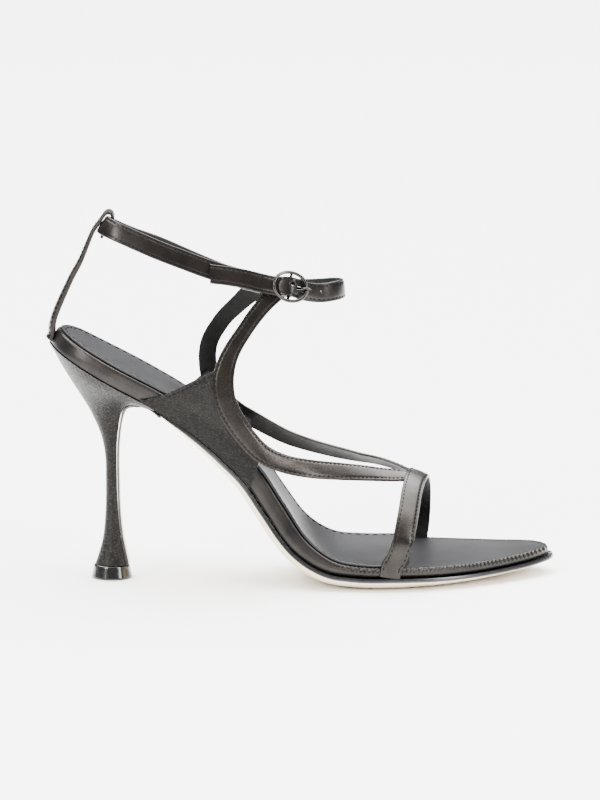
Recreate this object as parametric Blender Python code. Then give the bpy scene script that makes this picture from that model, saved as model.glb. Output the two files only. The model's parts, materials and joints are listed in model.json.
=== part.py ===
"""Strappy heeled sandal, right shoe. Metres, +Z up, +X to the toe, +Y to the inner side of the foot.

The origin is the middle of the toplift's lower face, on the floor. A footbed curve runs from the back of
the heel to the tip of the toe. Insole board, sock and sole are laid out flat along that curve, as (along,
across, height), and bed() bends them on to it. The straps stand on the same curve.
"""
import math

import bmesh
import bpy
import numpy as np
from mathutils import Vector

MM = 0.001
GAP = 0.3 * MM                      # between touching pieces
LAYER_GAP = 0.4 * MM                # between the layers of the sole, which are hollow across

# Footbed
FOOTBED_SPAN = 213.5 * MM           # back of the heel to the tip of the toe, on the floor
HEEL_BACK = 22.5 * MM               # back of the footbed behind the origin
BALL_LEVEL = 12.0 * MM              # top of the sock at the ball
SEAT_RISE = 100.5 * MM              # back of the footbed above the ball
BALL_WIDTH = 73.0 * MM
SEAT_WIDTH = 50.0 * MM
DISH = 2.4 * MM                     # how far the middle of the footbed lies below its edges, at the ball

# Sole
SOCK_THICK = 0.9 * MM
SOCK_INSET = 1.0 * MM
SOCK_END = 0.745                    # share of the footbed's length
SOCK_BULGE = 3.0 * MM               # its front edge is curved forward
BOARD_THICK = 6.8 * MM
BOARD_SOFT = 1.5 * MM               # its upper edge is rounded
SOLE_THICK = 5.2 * MM
SOLE_EDGE = 1.6 * MM                # painted edge
SOLE_PROUD = 0.4 * MM               # sole past the straps that end on it
BREAST_THICK = 1.1 * MM             # sole leather down the front of the heel

# Heel
TOPLIFT_HEIGHT = 5.9 * MM
TOPLIFT_WIDTH = 17.7 * MM
TOPLIFT_TOP_WIDTH = 15.4 * MM
LIP_REACH = 20.0 * MM               # tip of the heel's front lip from the origin
LIP_TAPER = 3.5 * MM                # the sole's edge draws in this far towards the lip
LIP_TAPER_RUN = 28.0 * MM

# Straps
LEATHER = 1.3 * MM
PANEL_THICK = 1.1 * MM
STRAP_WIDTH = 8.2 * MM
STRAP_BOW = 0.35 * MM               # edges behind the middle
VAMP_STRAP_WIDTH = 9.2 * MM
VAMP_STRAP_BOW = 0.45 * MM
VAMP_RISE = 34.0 * MM               # V of the side straps above the footbed
ANKLE_RISE = 87.0 * MM              # ankle strap above the footbed, where the side straps meet it
ANKLE_SPREAD = 17.0 * MM            # half the ankle strap's loop across
ANKLE_THICK = 1.5 * MM
ANKLE_WIDTH = 8.4 * MM
STAY_WIDTH = 11.5 * MM
STAY_TOP_WIDTH = 10.0 * MM
STAY_THICK = 2.2 * MM
STAY_TOP_THICK = 1.3 * MM
STAY_BOW = 1.3 * MM                 # its edges lie behind its middle, at the foot
STAY_FOOT = (6.6 * MM, 4.6 * MM)    # where it lies on the back of the board, below the footbed
STAY_SECTIONS = 18                  # from its foot to the top of the ankle strap

# Buckle
FRAME_LENGTH = 16.5 * MM
FRAME_WIDTH = 13.9 * MM
FRAME_WIRE = 1.5 * MM
BAR_WIRE = 1.2 * MM
PRONG_WIRE = 1.0 * MM
FRAME_TURN = 8.0                    # degrees, how far the oval is turned on the strap

SIDE_STEPS = 36                     # steps along each side of a sole outline
RUNGS = 6                           # steps across a sole piece
STATION = 4.2 * MM                  # spacing of the sections along a strap

# place, share of the span, share of the seat's rise
FOOTBED = (
    ("heel back", 0.000, 1.000),
    ("seat", 0.088, 0.889),
    ("seat middle", 0.199, 0.762),
    ("shank start", 0.262, 0.682),
    ("shank", 0.318, 0.592),
    ("waist", 0.368, 0.494),
    ("arch", 0.410, 0.400),
    ("arch steep", 0.456, 0.252),
    ("arch foot", 0.505, 0.104),
    ("joint", 0.560, 0.024),
    ("ball back", 0.620, 0.003),
    ("ball", 0.690, 0.000),
    ("ball front", 0.790, -0.003),
    ("toes", 0.900, 0.003),
    ("toe tip", 1.000, 0.016),
)

# place, share of the footbed's length, share of the ball's width
OUTER_SIDE = (
    ("heel tip", 0.000, 0.000),
    ("heel back", 0.028, -0.245),
    ("seat", 0.105, -0.354),
    ("seat front", 0.195, -0.350),
    ("shank", 0.320, -0.312),
    ("waist", 0.420, -0.306),
    ("arch", 0.520, -0.345),
    ("joint", 0.610, -0.420),
    ("ball", 0.690, -0.456),
    ("ball front", 0.770, -0.425),
    ("small toes", 0.850, -0.320),
    ("toes", 0.930, -0.135),
    ("toe round", 0.980, 0.030),
)
INNER_SIDE = (
    ("toe tip", 1.000, 0.185),
    ("toe round", 0.978, 0.325),
    ("big toe", 0.900, 0.440),
    ("ball front", 0.820, 0.515),
    ("ball", 0.735, 0.545),
    ("joint", 0.660, 0.525),
    ("arch foot", 0.580, 0.425),
    ("arch", 0.500, 0.305),
    ("waist", 0.410, 0.262),
    ("shank", 0.300, 0.292),
    ("seat front", 0.195, 0.347),
    ("seat", 0.105, 0.354),
    ("heel back", 0.028, 0.245),
)

# share of the footbed's length, then shares of the board's thickness, the dish and the sole's thickness
SOLE_LAYERS = (
    (0.00, 1.08, 0.25, 0.30),
    (0.12, 1.10, 0.45, 0.30),
    (0.20, 1.12, 0.45, 0.36),
    (0.32, 1.18, 0.40, 0.74),
    (0.42, 1.20, 0.40, 0.84),
    (0.52, 1.14, 0.55, 0.88),
    (0.60, 0.92, 0.78, 1.00),
    (0.66, 0.68, 0.92, 1.00),
    (0.72, 0.63, 1.00, 1.00),
    (0.85, 0.62, 0.80, 0.76),
    (1.00, 0.58, 0.20, 0.62),
)

# Sole from its upper edge round to its underside: distance in from the edge, share of the painted edge, share
# of the full thickness
SOLE_CONTOUR = (
    ("upper edge", 0.0, 0.00, 0.00),
    ("lower edge", 0.0, 1.00, 0.00),
    ("round", 2.4 * MM, 0.85, 0.30),
    ("under the round", 8.0 * MM, 0.30, 0.80),
    ("middle", 14.0 * MM, 0.00, 1.00),
)
BREAST_RUN_OUT = 20.0 * MM          # the same distances count for less down the narrow breast

# Heel, bottom to top. Heights are shares of the seat's height, backs and fronts are shares of the lip's
# reach, widths are shares of the seat's. The last column is how wide the breast is in its section.
HEEL = (
    ("on the toplift", 0.059, -0.360, 0.059, 0.325, 0.284, 0.80),
    ("flare", 0.117, -0.262, 0.117, 0.262, 0.238, 0.80),
    ("lower stem", 0.175, -0.190, 0.175, 0.200, 0.190, 0.82),
    ("neck", 0.290, -0.135, 0.290, 0.138, 0.154, 0.84),
    ("neck top", 0.417, -0.124, 0.417, 0.116, 0.146, 0.84),
    ("stem", 0.505, -0.130, 0.505, 0.110, 0.152, 0.84),
    ("stem widens", 0.560, -0.165, 0.556, 0.117, 0.170, 0.84),
    ("stem top", 0.615, -0.235, 0.608, 0.140, 0.202, 0.84),
    ("throat", 0.669, -0.347, 0.662, 0.177, 0.252, 0.84),
    ("lower bell", 0.726, -0.492, 0.709, 0.232, 0.347, 0.84),
    ("bell", 0.792, -0.700, 0.741, 0.310, 0.502, 0.84),
    ("upper bell", 0.860, -0.918, 0.758, 0.443, 0.702, 0.86),
    ("under the seat", 0.930, -1.130, 0.760, 0.660, 0.880, 0.90),
)

# Side straps: share of the span, rise as shares of the ankle's and of the vamp's, distance across as shares
# of the ball's width and of the ankle strap's spread, lean of the face from upright in degrees, width
OUTER_STRAP = (
    ("under the ankle strap", 0.447, 1.028, 0.000, 0.000, 0.840, 10, 1.10),
    ("instep top", 0.421, 0.861, 0.000, 0.080, 0.640, 12, 0.90),
    ("instep", 0.398, 0.723, 0.000, 0.170, 0.370, 12, 0.85),
    ("side", 0.378, 0.605, 0.000, 0.245, 0.180, 11, 0.83),
    ("side bend", 0.355, 0.465, 0.000, 0.305, 0.070, 10, 0.90),
    ("quarter top", 0.342, 0.362, 0.000, 0.350, 0.000, 9, 1.02),
    ("quarter", 0.336, 0.277, 0.000, 0.371, 0.000, 9, 1.13),
    ("quarter bend", 0.337, 0.211, 0.000, 0.386, 0.000, 10, 1.14),
    ("quarter low", 0.346, 0.158, 0.000, 0.396, 0.000, 12, 1.13),
    ("quarter foot", 0.365, 0.093, 0.064, 0.402, 0.000, 16, 1.10),
    ("forward bend", 0.387, 0.043, 0.137, 0.400, 0.000, 20, 1.06),
    ("forward", 0.413, 0.012, 0.231, 0.390, 0.000, 24, 1.04),
    ("waist", 0.456, 0.000, 0.531, 0.365, 0.000, 28, 1.02),
    ("arch", 0.508, 0.000, 0.902, 0.326, 0.000, 32, 1.05),
    ("joint", 0.565, 0.000, 1.067, 0.247, 0.000, 38, 1.06),
    ("towards the V", 0.620, 0.000, 1.054, 0.151, 0.000, 46, 1.04),
    ("V", 0.672, 0.000, 0.998, 0.060, 0.000, 58, 1.00),
    ("under the vamp strap", 0.732, 0.000, 0.964, 0.000, 0.000, 74, 0.94),
)
INNER_STRAP = (
    ("under the ankle strap", 0.441, 0.958, 0.000, 0.000, 0.820, 9, 1.20),
    ("instep top", 0.394, 0.778, 0.000, 0.050, 0.650, 12, 1.10),
    ("instep", 0.363, 0.634, 0.000, 0.150, 0.370, 12, 0.98),
    ("side", 0.336, 0.504, 0.000, 0.222, 0.180, 11, 0.93),
    ("side bend", 0.318, 0.399, 0.000, 0.276, 0.070, 10, 0.93),
    ("quarter top", 0.305, 0.309, 0.000, 0.318, 0.000, 9, 0.94),
    ("quarter", 0.300, 0.226, 0.000, 0.343, 0.000, 9, 0.95),
    ("quarter bend", 0.302, 0.155, 0.000, 0.363, 0.000, 10, 0.98),
    ("quarter low", 0.310, 0.094, 0.000, 0.382, 0.000, 12, 1.00),
    ("quarter foot", 0.329, 0.044, 0.039, 0.394, 0.000, 16, 1.02),
    ("forward bend", 0.358, 0.026, 0.088, 0.402, 0.000, 21, 1.02),
    ("forward", 0.391, 0.014, 0.203, 0.404, 0.000, 26, 1.00),
    ("waist", 0.422, 0.000, 0.367, 0.404, 0.000, 30, 0.98),
    ("arch", 0.461, 0.000, 0.623, 0.397, 0.000, 34, 0.98),
    ("arch top", 0.507, 0.000, 0.930, 0.377, 0.000, 38, 0.98),
    ("joint", 0.556, 0.000, 1.077, 0.329, 0.000, 42, 1.00),
    ("towards the V", 0.603, 0.000, 1.097, 0.267, 0.000, 46, 1.00),
    ("V", 0.660, 0.000, 1.083, 0.150, 0.000, 52, 0.98),
    ("under the vamp strap", 0.732, 0.000, 0.971, 0.045, 0.000, 68, 0.94),
)

# Vamp strap above the board's edges, from the outer to the inner side: share of the span, share of the
# vamp's rise, share of the ball's width, turn of the face in degrees from straight out on the outer side
VAMP_ARCH = (
    ("outer rise", 0.697, 0.278, -0.462, 10),
    ("outer side", 0.703, 0.448, -0.420, 24),
    ("outer shoulder", 0.710, 0.646, -0.345, 40),
    ("outer top", 0.716, 0.829, -0.235, 56),
    ("towards the top", 0.723, 0.941, -0.110, 72),
    ("top", 0.730, 0.986, 0.014, 90),
    ("past the top", 0.735, 0.949, 0.145, 108),
    ("inner top", 0.738, 0.830, 0.272, 126),
    ("inner shoulder", 0.740, 0.628, 0.390, 144),
    ("inner side", 0.740, 0.410, 0.482, 158),
    ("inner rise", 0.739, 0.223, 0.535, 170),
)
# where its ends lie: side, shares of the span at the sole, on the board's edge and just above it
VAMP_LANDINGS = (
    ("outer", 0.672, 0.673, 0.682),
    ("inner", 0.734, 0.734, 0.736),
)
VAMP_TILT = 0.42                    # how far its face tips to the toe, at the top

# Quarter panels: edge, side strap's row it runs up to, shares of the footbed's length at the board's lower
# and upper edges
OUTER_PANEL = (
    ("back edge", "quarter top", 0.178, 0.211),
    ("front edge", "forward", 0.437, 0.418),
)
INNER_PANEL = (
    ("back edge", "quarter bend", 0.200, 0.250),
    ("front edge", "forward", 0.410, 0.405),
)
PANEL_COLUMNS = 14
PANEL_ROWS = 5                      # above the board

# Ankle strap's inner face: share of the span, share of the ankle's rise, share of the spread, cant of the
# strap's width from upright in degrees
ANKLE_PATH = (
    ("at the bar", 0.467, 1.110, -0.940, 18),
    ("outer front", 0.440, 1.016, -0.988, 18),
    ("side strap", 0.397, 0.892, -1.000, 19),
    ("outer instep", 0.351, 0.812, -1.000, 20),
    ("outer side", 0.307, 0.748, -1.000, 20),
    ("outer ankle", 0.258, 0.704, -0.976, 21),
    ("outer heel", 0.208, 0.676, -0.918, 22),
    ("outer back", 0.152, 0.657, -0.776, 25),
    ("outer turn", 0.113, 0.645, -0.600, 28),
    ("near the stay", 0.095, 0.637, -0.340, 33),
    ("back", 0.094, 0.630, 0.000, 34),
    ("past the stay", 0.095, 0.621, 0.340, 33),
    ("inner turn", 0.113, 0.617, 0.600, 28),
    ("inner back", 0.143, 0.621, 0.741, 25),
    ("inner heel", 0.199, 0.641, 0.882, 22),
    ("inner ankle", 0.255, 0.660, 0.953, 21),
    ("inner side", 0.311, 0.701, 0.988, 20),
    ("inner instep", 0.368, 0.775, 1.000, 16),
    ("inner strap", 0.424, 0.904, 0.976, 12),
    ("inner front", 0.480, 1.105, 0.859, 9),
    ("front round", 0.527, 1.237, 0.659, 7),
    ("front corner", 0.560, 1.297, 0.376, 6),
    ("front", 0.575, 1.314, 0.000, 6),
    ("outer corner", 0.562, 1.304, -0.395, 8),
    ("outer round", 0.533, 1.263, -0.655, 11),
    ("to the buckle", 0.500, 1.205, -0.845, 15),
)
TIP_REACH = 34.0 * MM               # free end of the strap past the bar
TIP_SLANT = 0.9 * MM                # its end is cut at a slant

# Layers at the buckle: distance from the bar, rise of the inner face, share of the full thickness, bow of
# the width, shift up along the width. Distances run backwards, the way the strap leaves the bar.
FIXED_END = (
    ("over the bar", 0.0, 2.75, 0.55, 0.0, 0.0),
    ("past the bar", 3.3, 1.60, 0.68, 0.3, 0.0),
    ("tail's end", 5.0, 0.80, 0.76, 0.8, 0.0),
    ("under the rim", 8.0, 0.20, 1.00, 0.8, 0.0),
    ("one layer", 12.0, 0.00, 1.00, 0.3, 0.0),
)
FREE_END = (
    ("one layer", -16.0, 0.00, 1.00, 0.3, 0.0),
    ("before the rim", -12.0, 0.40, 1.00, 0.5, 0.0),
    ("under the front rim", -8.0, 1.15, 1.00, 0.8, 0.0),
    ("inside the frame", -5.0, 1.80, 1.00, 0.7, 0.0),
    ("before the bar", -3.3, 2.55, 1.00, 0.3, 0.0),
    ("over the bar", 0.0, 3.85, 1.00, 0.0, 0.0),
    ("past the bar", 3.3, 2.95, 1.00, 0.3, 0.0),
    ("over the tail's end", 5.0, 2.25, 1.00, 0.8, 0.0),
    ("under the rear rim", 8.0, 2.00, 1.00, 0.8, 0.0),
    ("two layers", 12.0, 1.80, 1.00, 0.3, 0.0),
    ("still on the strap", 17.0, 1.80, 1.00, 0.3, 0.0),
    ("drooping", 26.0, 1.80, 1.00, 0.3, -0.8),
    ("tip", 34.0, 1.80, 1.00, 0.3, -2.0),
)
# distances at which the strap has sections near the bar
PAST_BAR = (1.7, 3.3, 5.0, 7.0, 9.5, 13.0)
BEFORE_BAR = (-16.0, -12.5, -9.5, -7.0, -5.0, -3.3, -1.7, 0.0)
BAR_RISE = 1.9 * MM                 # middle of the bar above the strap's inner face
TAIL_LENGTH = 3.8 * MM              # end of the strap folded round the bar
# rises of the frame's middle line at its front, side and rear
FRAME_RISE = (4.05 * MM, 3.8 * MM, 4.8 * MM)
# prong from its curl round the bar to its tip: distance in front of the bar, rise
PRONG = ((1.2, 2.62), (2.4, 2.28), (3.4, 2.45), (4.4, 3.40), (5.4, 4.70), (6.6, 5.50), (8.1, 5.62), (9.1, 5.35))
SLOT_WIDTH = 2.1 * MM
BAR_SLOT = (-2.9, 2.4, -0.4, 3.62)  # in the fold round the bar: from, to, low, high
TIP_SLOT = (-5.9, -2.5, 0.6, 7.0)   # in the free end

# Back stay's inner face from the floor frame: place, x, height
BACK_STAY = (
    ("above the seat", -24.7, 111.8),
    ("low", -23.3, 116.6),
    ("lower middle", -21.2, 121.6),
    ("middle", -18.7, 127.1),
    ("upper middle", -15.8, 133.1),
    ("high", -12.1, 139.9),
)


def smooth(table, column, key):
    """A function through a table's column, with no overshoot."""
    xs = [row[key] for row in table]
    ys = [row[column] for row in table]
    count = len(xs)
    step = [(ys[i + 1] - ys[i]) / (xs[i + 1] - xs[i]) for i in range(count - 1)]
    slope = [step[0]]
    for i in range(1, count - 1):
        rising = step[i - 1] * step[i] > 0
        slope.append(2 * step[i - 1] * step[i] / (step[i - 1] + step[i]) if rising else 0.0)
    slope.append(step[-1])

    def value(x):
        x = min(max(x, xs[0]), xs[-1])
        i = max(k for k in range(count - 1) if xs[k] <= x)
        wide = xs[i + 1] - xs[i]
        t = (x - xs[i]) / wide
        return ((1 + 2 * t) * (1 - t) ** 2 * ys[i] + t * (1 - t) ** 2 * wide * slope[i]
                + t * t * (3 - 2 * t) * ys[i + 1] + t * t * (t - 1) * wide * slope[i + 1])
    return value


def spline(points, per_span=12, closed=False):
    """Points of a smooth curve through the given ones, in any number of dimensions."""
    pts = [np.array(p, float) for p in points]
    count = len(pts)
    if closed:
        pts = [pts[-1]] + pts + pts[:2]
    else:
        pts = [2 * pts[0] - pts[1]] + pts + [2 * pts[-1] - pts[-2]]
    out = []
    for i in range(1, count + closed):
        a, b, c, d = pts[i - 1:i + 3]
        k0, k1, k2 = (max(np.linalg.norm((q - p)[:2]), 1e-9) ** 0.5 for p, q in ((a, b), (b, c), (c, d)))
        m1 = (c - b) + k1 * ((b - a) / k0 - (c - a) / (k0 + k1))
        m2 = (c - b) + k1 * ((d - c) / k2 - (d - b) / (k1 + k2))
        for j in range(per_span):
            t = j / per_span
            out.append((1 + 2 * t) * (1 - t) ** 2 * b + t * (1 - t) ** 2 * m1
                       + t * t * (3 - 2 * t) * c + t * t * (t - 1) * m2)
    if not closed:
        out.append(pts[count])
    return np.array(out)


def measured(points):
    """Distance along a run of points."""
    return np.concatenate(([0.0], np.cumsum(np.linalg.norm(np.diff(points, axis=0), axis=1))))


def spaced(points, count, measure=None):
    """The same curve as evenly spaced points."""
    at = measured(points[:, :measure])
    want = np.linspace(0, at[-1], count)
    return np.column_stack([np.interp(want, at, points[:, k]) for k in range(points.shape[1])])


class Track:
    """A curve in the XZ plane, read by distance along it and height square to it."""

    def __init__(self, points):
        self.points = np.array(points, float)
        self.at = measured(self.points)
        self.length = self.at[-1]
        run = np.gradient(self.points, axis=0)
        self.run = run / np.linalg.norm(run, axis=1)[:, None]

    def place(self, along, height=0.0):
        inside = min(max(along, 0.0), self.length)
        x, z, rx, rz = (np.interp(inside, self.at, c) for c in (*self.points.T, *self.run.T))
        size = math.hypot(rx, rz)
        rx, rz = rx / size, rz / size
        past = along - inside
        return x + rx * past - rz * height, z + rz * past + rx * height


def span_x(share):
    return share * FOOTBED_SPAN - HEEL_BACK


FOOT = Track(spline([(span_x(x), BALL_LEVEL + z * SEAT_RISE - SOCK_THICK - LAYER_GAP)
                     for _, x, z in FOOTBED]))
BOARD_SHARE, DISH_SHARE, SOLE_SHARE = (smooth(SOLE_LAYERS, k, 0) for k in (1, 2, 3))


def board_depth(along):
    return BOARD_THICK * BOARD_SHARE(along / FOOT.length)


def footbed_height(x):
    """Height of the footbed over a place on the floor."""
    return float(np.interp(x, FOOT.points[:, 0], FOOT.points[:, 1]))


def footbed_along(x):
    return float(np.interp(x, FOOT.points[:, 0], FOOT.at))


def laid_flat():
    """The board's outline laid flat: outer side and inner side, each from heel tip to toe tip."""
    seat_share = SEAT_WIDTH / (0.708 * BALL_WIDTH)
    rows = [(a * FOOT.length, y * BALL_WIDTH * (seat_share if a < 0.25 else 1.0))
            for _, a, y in OUTER_SIDE + INNER_SIDE]
    tip = len(OUTER_SIDE) * 12
    whole = spline(rows, 12, closed=True)
    return whole[:tip + 1], np.vstack([whole[tip:], whole[:1]])[::-1]


OUTLINE = dict(zip((-1, 1), laid_flat()))


def edge_across(side, along, offset=0.0):
    """How far the outline stands from the middle line on one side, at a distance along the footbed."""
    curve = moved_out(side, offset) if offset else OUTLINE[side]
    order = np.argsort(curve[:, 0], kind="stable")
    return float(np.interp(along, curve[order, 0], curve[order, 1]))


def moved_out(side, offset):
    """One side of the outline moved out square to itself."""
    pts = OUTLINE[side]
    run = np.gradient(pts, axis=0)
    run[0] = (0, side)
    run[-1] = (0, -side)
    run /= np.linalg.norm(run, axis=1)[:, None]
    return pts + np.column_stack([-run[:, 1], run[:, 0]]) * side * offset


def outline(offset, ends=(0.0, 1.0), steps=SIDE_STEPS):
    """Both sides of the outline moved out by an offset, as the same number of points each."""
    pairs = []
    for side in (-1, 1):
        pts = moved_out(side, offset)
        low, high = (e * FOOT.length for e in ends)
        keep = np.ones(len(pts), bool)
        if ends[0] > 0:
            keep &= pts[:, 0] > low
        if ends[1] < 1:
            keep &= pts[:, 0] < high
        part = pts[keep]
        if ends[0] > 0:
            part = np.vstack([(low, edge_across(side, low, offset)), part])
        if ends[1] < 1:
            part = np.vstack([part, (high, edge_across(side, high, offset))])
        pairs.append(spaced(part, steps + 1))
    return pairs


def bed(along, across, height):
    """A point over the footbed, which is hollow across: its middle lies lower than its edges."""
    inside = min(max(along, 0.0), FOOT.length)
    low, high = edge_across(-1, inside), edge_across(1, inside)
    off = min(abs(across - (low + high) / 2) / max((high - low) / 2, MM), 1.0)
    dip = DISH * DISH_SHARE(inside / FOOT.length) * (1 - off * off)
    x, z = FOOT.place(along, height - dip)
    return Vector((x, across, z))


class Shape:
    """A closed mesh put together from rings, strips and caps."""

    def __init__(self, name, colour, roughness, metallic=0.0):
        self.name = name
        self.finish = (colour, roughness, metallic)
        self.bm = bmesh.new()

    def ring(self, points):
        return [self.bm.verts.new(p) for p in points]

    def strip(self, one, two, closed=True):
        for i in range(len(one) if closed else len(one) - 1):
            j = (i + 1) % len(one)
            corners = [one[i], one[j], two[j], two[i]]
            face = [v for k, v in enumerate(corners) if v not in corners[:k]]
            if len(face) > 2:
                self.bm.faces.new(face)

    def cap(self, ring, outer, inner, face, rungs=RUNGS):
        """Closes a ring of two sides with rungs across it. A side ends in a tip, or in a straight edge."""
        last = len(outer) - 1
        tips = [np.linalg.norm(outer[i] - inner[i]) < 1e-7 for i in (0, last)]
        before = None
        for i in range(last + 1):
            if (i == 0 and tips[0]) or (i == last and tips[1]):
                rung = [ring[i]] * (rungs + 1)
            elif i == 0:
                rung = [ring[0]] + ring[:-rungs:-1] + [ring[-rungs]]
            elif i == last:
                rung = ring[last:last + rungs + 1]
            else:
                across = [outer[i] + (inner[i] - outer[i]) * k / rungs for k in range(1, rungs)]
                far = ring[len(ring) - i - (0 if tips[0] else rungs - 1)]
                rung = [ring[i]] + [self.bm.verts.new(face(*p)) for p in across] + [far]
            if before:
                self.strip(before, rung, closed=False)
            before = rung

    def done(self, sharp=50):
        bmesh.ops.recalc_face_normals(self.bm, faces=self.bm.faces)
        bmesh.ops.triangulate(self.bm, faces=[f for f in self.bm.faces if len(f.verts) > 3])
        mesh = bpy.data.meshes.new(self.name)
        self.bm.to_mesh(mesh)
        self.bm.free()
        mesh.shade_smooth()
        mesh.set_sharp_from_angle(angle=math.radians(sharp))
        obj = bpy.data.objects.new(self.name, mesh)
        bpy.context.scene.collection.objects.link(obj)
        colour, roughness, metallic = self.finish
        material = bpy.data.materials.new(self.name)
        material.use_nodes = True
        shader = material.node_tree.nodes["Principled BSDF"]
        shader.inputs["Base Color"].default_value = (*colour, 1)
        shader.inputs["Roughness"].default_value = roughness
        shader.inputs["Metallic"].default_value = metallic
        mesh.materials.append(material)
        return obj


def loop_of(outer, inner, rungs=RUNGS, bulge=0.0):
    """The closed run of points round two sides, with points along each straight end."""
    def across(a, b, reach):
        return [a + (b - a) * k / rungs + np.array((reach * math.sin(math.pi * k / rungs), 0))
                for k in range(1, rungs)]

    points = list(outer)
    if np.linalg.norm(outer[-1] - inner[-1]) < 1e-7:
        points += list(inner[-2:0:-1])
    else:
        points += across(outer[-1], inner[-1], bulge) + list(inner[:0:-1])
    if np.linalg.norm(outer[0] - inner[0]) > 1e-7:
        points += [inner[0]] + across(inner[0], outer[0], 0.0)
    return points


def slab(shape, layers, bulge=0.0):
    """A slab between two faces. layers are (outer side, inner side, function to a point), top to bottom."""
    rings = [shape.ring([place(*p) for p in loop_of(outer, inner, bulge=bulge)])
             for outer, inner, place in layers]
    for one, two in zip(rings, rings[1:]):
        shape.strip(one, two)
    for ring, (outer, inner, place) in ((rings[0], layers[0]), (rings[-1], layers[-1])):
        shape.cap(ring, outer, inner, place)


def loft(shape, rings):
    """A tube of rings with flat ends."""
    made = [shape.ring(r) for r in rings]
    for one, two in zip(made, made[1:]):
        shape.strip(one, two)
    for end in (made[0], made[-1]):
        shape.bm.faces.new(end)


def round_tube(shape, points, radius, sides=8, closed=False):
    """A round wire along points, in a ring or with flat ends."""
    pts = [Vector(p) for p in points]
    count = len(pts)
    rings = []
    side = None
    for i, p in enumerate(pts):
        after = pts[(i + 1) % count] if closed else pts[min(i + 1, count - 1)]
        before = pts[i - 1] if closed else pts[max(i - 1, 0)]
        run = (after - before).normalized()
        side = (side or run.orthogonal())
        side = (side - run * run.dot(side)).normalized()
        up = run.cross(side)
        turns = [2 * math.pi * k / sides for k in range(sides)]
        size = radius[i] if hasattr(radius, "__len__") else radius
        rings.append([p + (side * math.cos(t) + up * math.sin(t)) * size for t in turns])
    if not closed:
        loft(shape, rings)
        return
    made = [shape.ring(r) for r in rings]
    for i in range(count):
        shape.strip(made[i - 1], made[i])


def ribbon(shape, path, across=2, soft=0.3, slant=(0.0, 0.0)):
    """A strap along a path of (point, outward direction, width, thickness, bow). The point is the middle of
    its inner face, the bow is how far its edges lie behind its middle, and its edges are softened."""
    points = [Vector(row[0]) for row in path]
    rings = []
    for i, (_, out, width, thick, bow) in enumerate(path):
        run = (points[min(i + 1, len(points) - 1)] - points[max(i - 1, 0)]).normalized()
        out = (Vector(out) - run * run.dot(Vector(out))).normalized()
        side = run.cross(out)
        half = width / 2
        flat = half - soft * thick
        steps = [flat * (2 * k / across - 1) for k in range(across + 1)]
        lean = slant[0] if i == 0 else slant[1] if i == len(path) - 1 else 0.0

        def spot(s, lift):
            return points[i] + side * s + out * (lift - bow * (s / half) ** 2) + run * (lean * s / half)

        ring = [spot(s, thick) for s in steps] + [spot(half, thick * (1 - soft)), spot(half, thick * soft)]
        ring += [spot(s, 0.0) for s in reversed(steps)]
        rings.append(ring + [spot(-half, thick * soft), spot(-half, thick * (1 - soft))])
    loft(shape, rings)


def along_table(rows, station=STATION, per_span=8):
    """A table's rows as a smooth run of evenly spaced rows, measured by their first three columns."""
    dense = spline(rows, per_span)
    steps = max(int(round(measured(dense[:, :3])[-1] / station)), 2)
    return spaced(dense, steps + 1, 3)


def join(body, *others):
    """Joins closed pieces to a body."""
    for other in others:
        other.hide_render = True
        other.display_type = "WIRE"
        union = body.modifiers.new(other.name, "BOOLEAN")
        union.operation = "UNION"
        union.solver = "EXACT"
        union.use_self = True
        union.object = other


def make_board():
    shape = Shape("insole_board", (0.13, 0.12, 0.115), 0.45)
    layers = (
        (-BOARD_SOFT, lambda a, y: bed(a, y, 0)),
        (0.0, lambda a, y: bed(a, y, -BOARD_SOFT)),
        (0.0, lambda a, y: bed(a, y, 0.5 * BOARD_SOFT - board_depth(a))),
        (-0.5 * BOARD_SOFT, lambda a, y: bed(a, y, -board_depth(a))),
    )
    slab(shape, [(*outline(offset), place) for offset, place in layers])
    return shape.done()


def make_sock():
    shape = Shape("sock", (0.21, 0.21, 0.215), 0.5)
    layers = (
        (-SOCK_INSET - 0.3 * SOCK_THICK, lambda a, y: bed(a, y, LAYER_GAP + SOCK_THICK)),
        (-SOCK_INSET, lambda a, y: bed(a, y, LAYER_GAP + 0.7 * SOCK_THICK)),
        (-SOCK_INSET, lambda a, y: bed(a, y, LAYER_GAP)),
    )
    slab(shape, [(*outline(offset, (0.0, SOCK_END)), place) for offset, place in layers], bulge=SOCK_BULGE)
    return shape.done()


def seat_under(along, across):
    return bed(along, across, -board_depth(along) - LAYER_GAP)


SEAT_LEVEL = seat_under(0, 0).z
LIP_ALONG = min((abs(seat_under(a, 0).x - LIP_REACH), a) for a in np.linspace(0.1, 0.35, 251) * FOOT.length)[1]
SOLE_START = 1.04 * LIP_ALONG       # where the sole leaves the footbed and turns down the breast


def lip_taper(along):
    """How far the sole's edge draws in towards the heel's lip."""
    return LIP_TAPER * max(1 - (along - SOLE_START) / LIP_TAPER_RUN, 0.0) ** 2


def heel_rows():
    """Back point, front point, half width and half width of the breast, of the heel's sections."""
    rows = []
    for _, back_z, back, front_z, front, width, breast in HEEL:
        half = width * SEAT_WIDTH / 2
        rows.append(((back * LIP_REACH, back_z * SEAT_LEVEL), (front * LIP_REACH, front_z * SEAT_LEVEL),
                     half, half * breast))
    low = TOPLIFT_HEIGHT + GAP
    (back, _), (front, _), half, breast = rows[0]
    rows[0] = ((back, low), (front, low), half, breast)
    return rows


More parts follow.
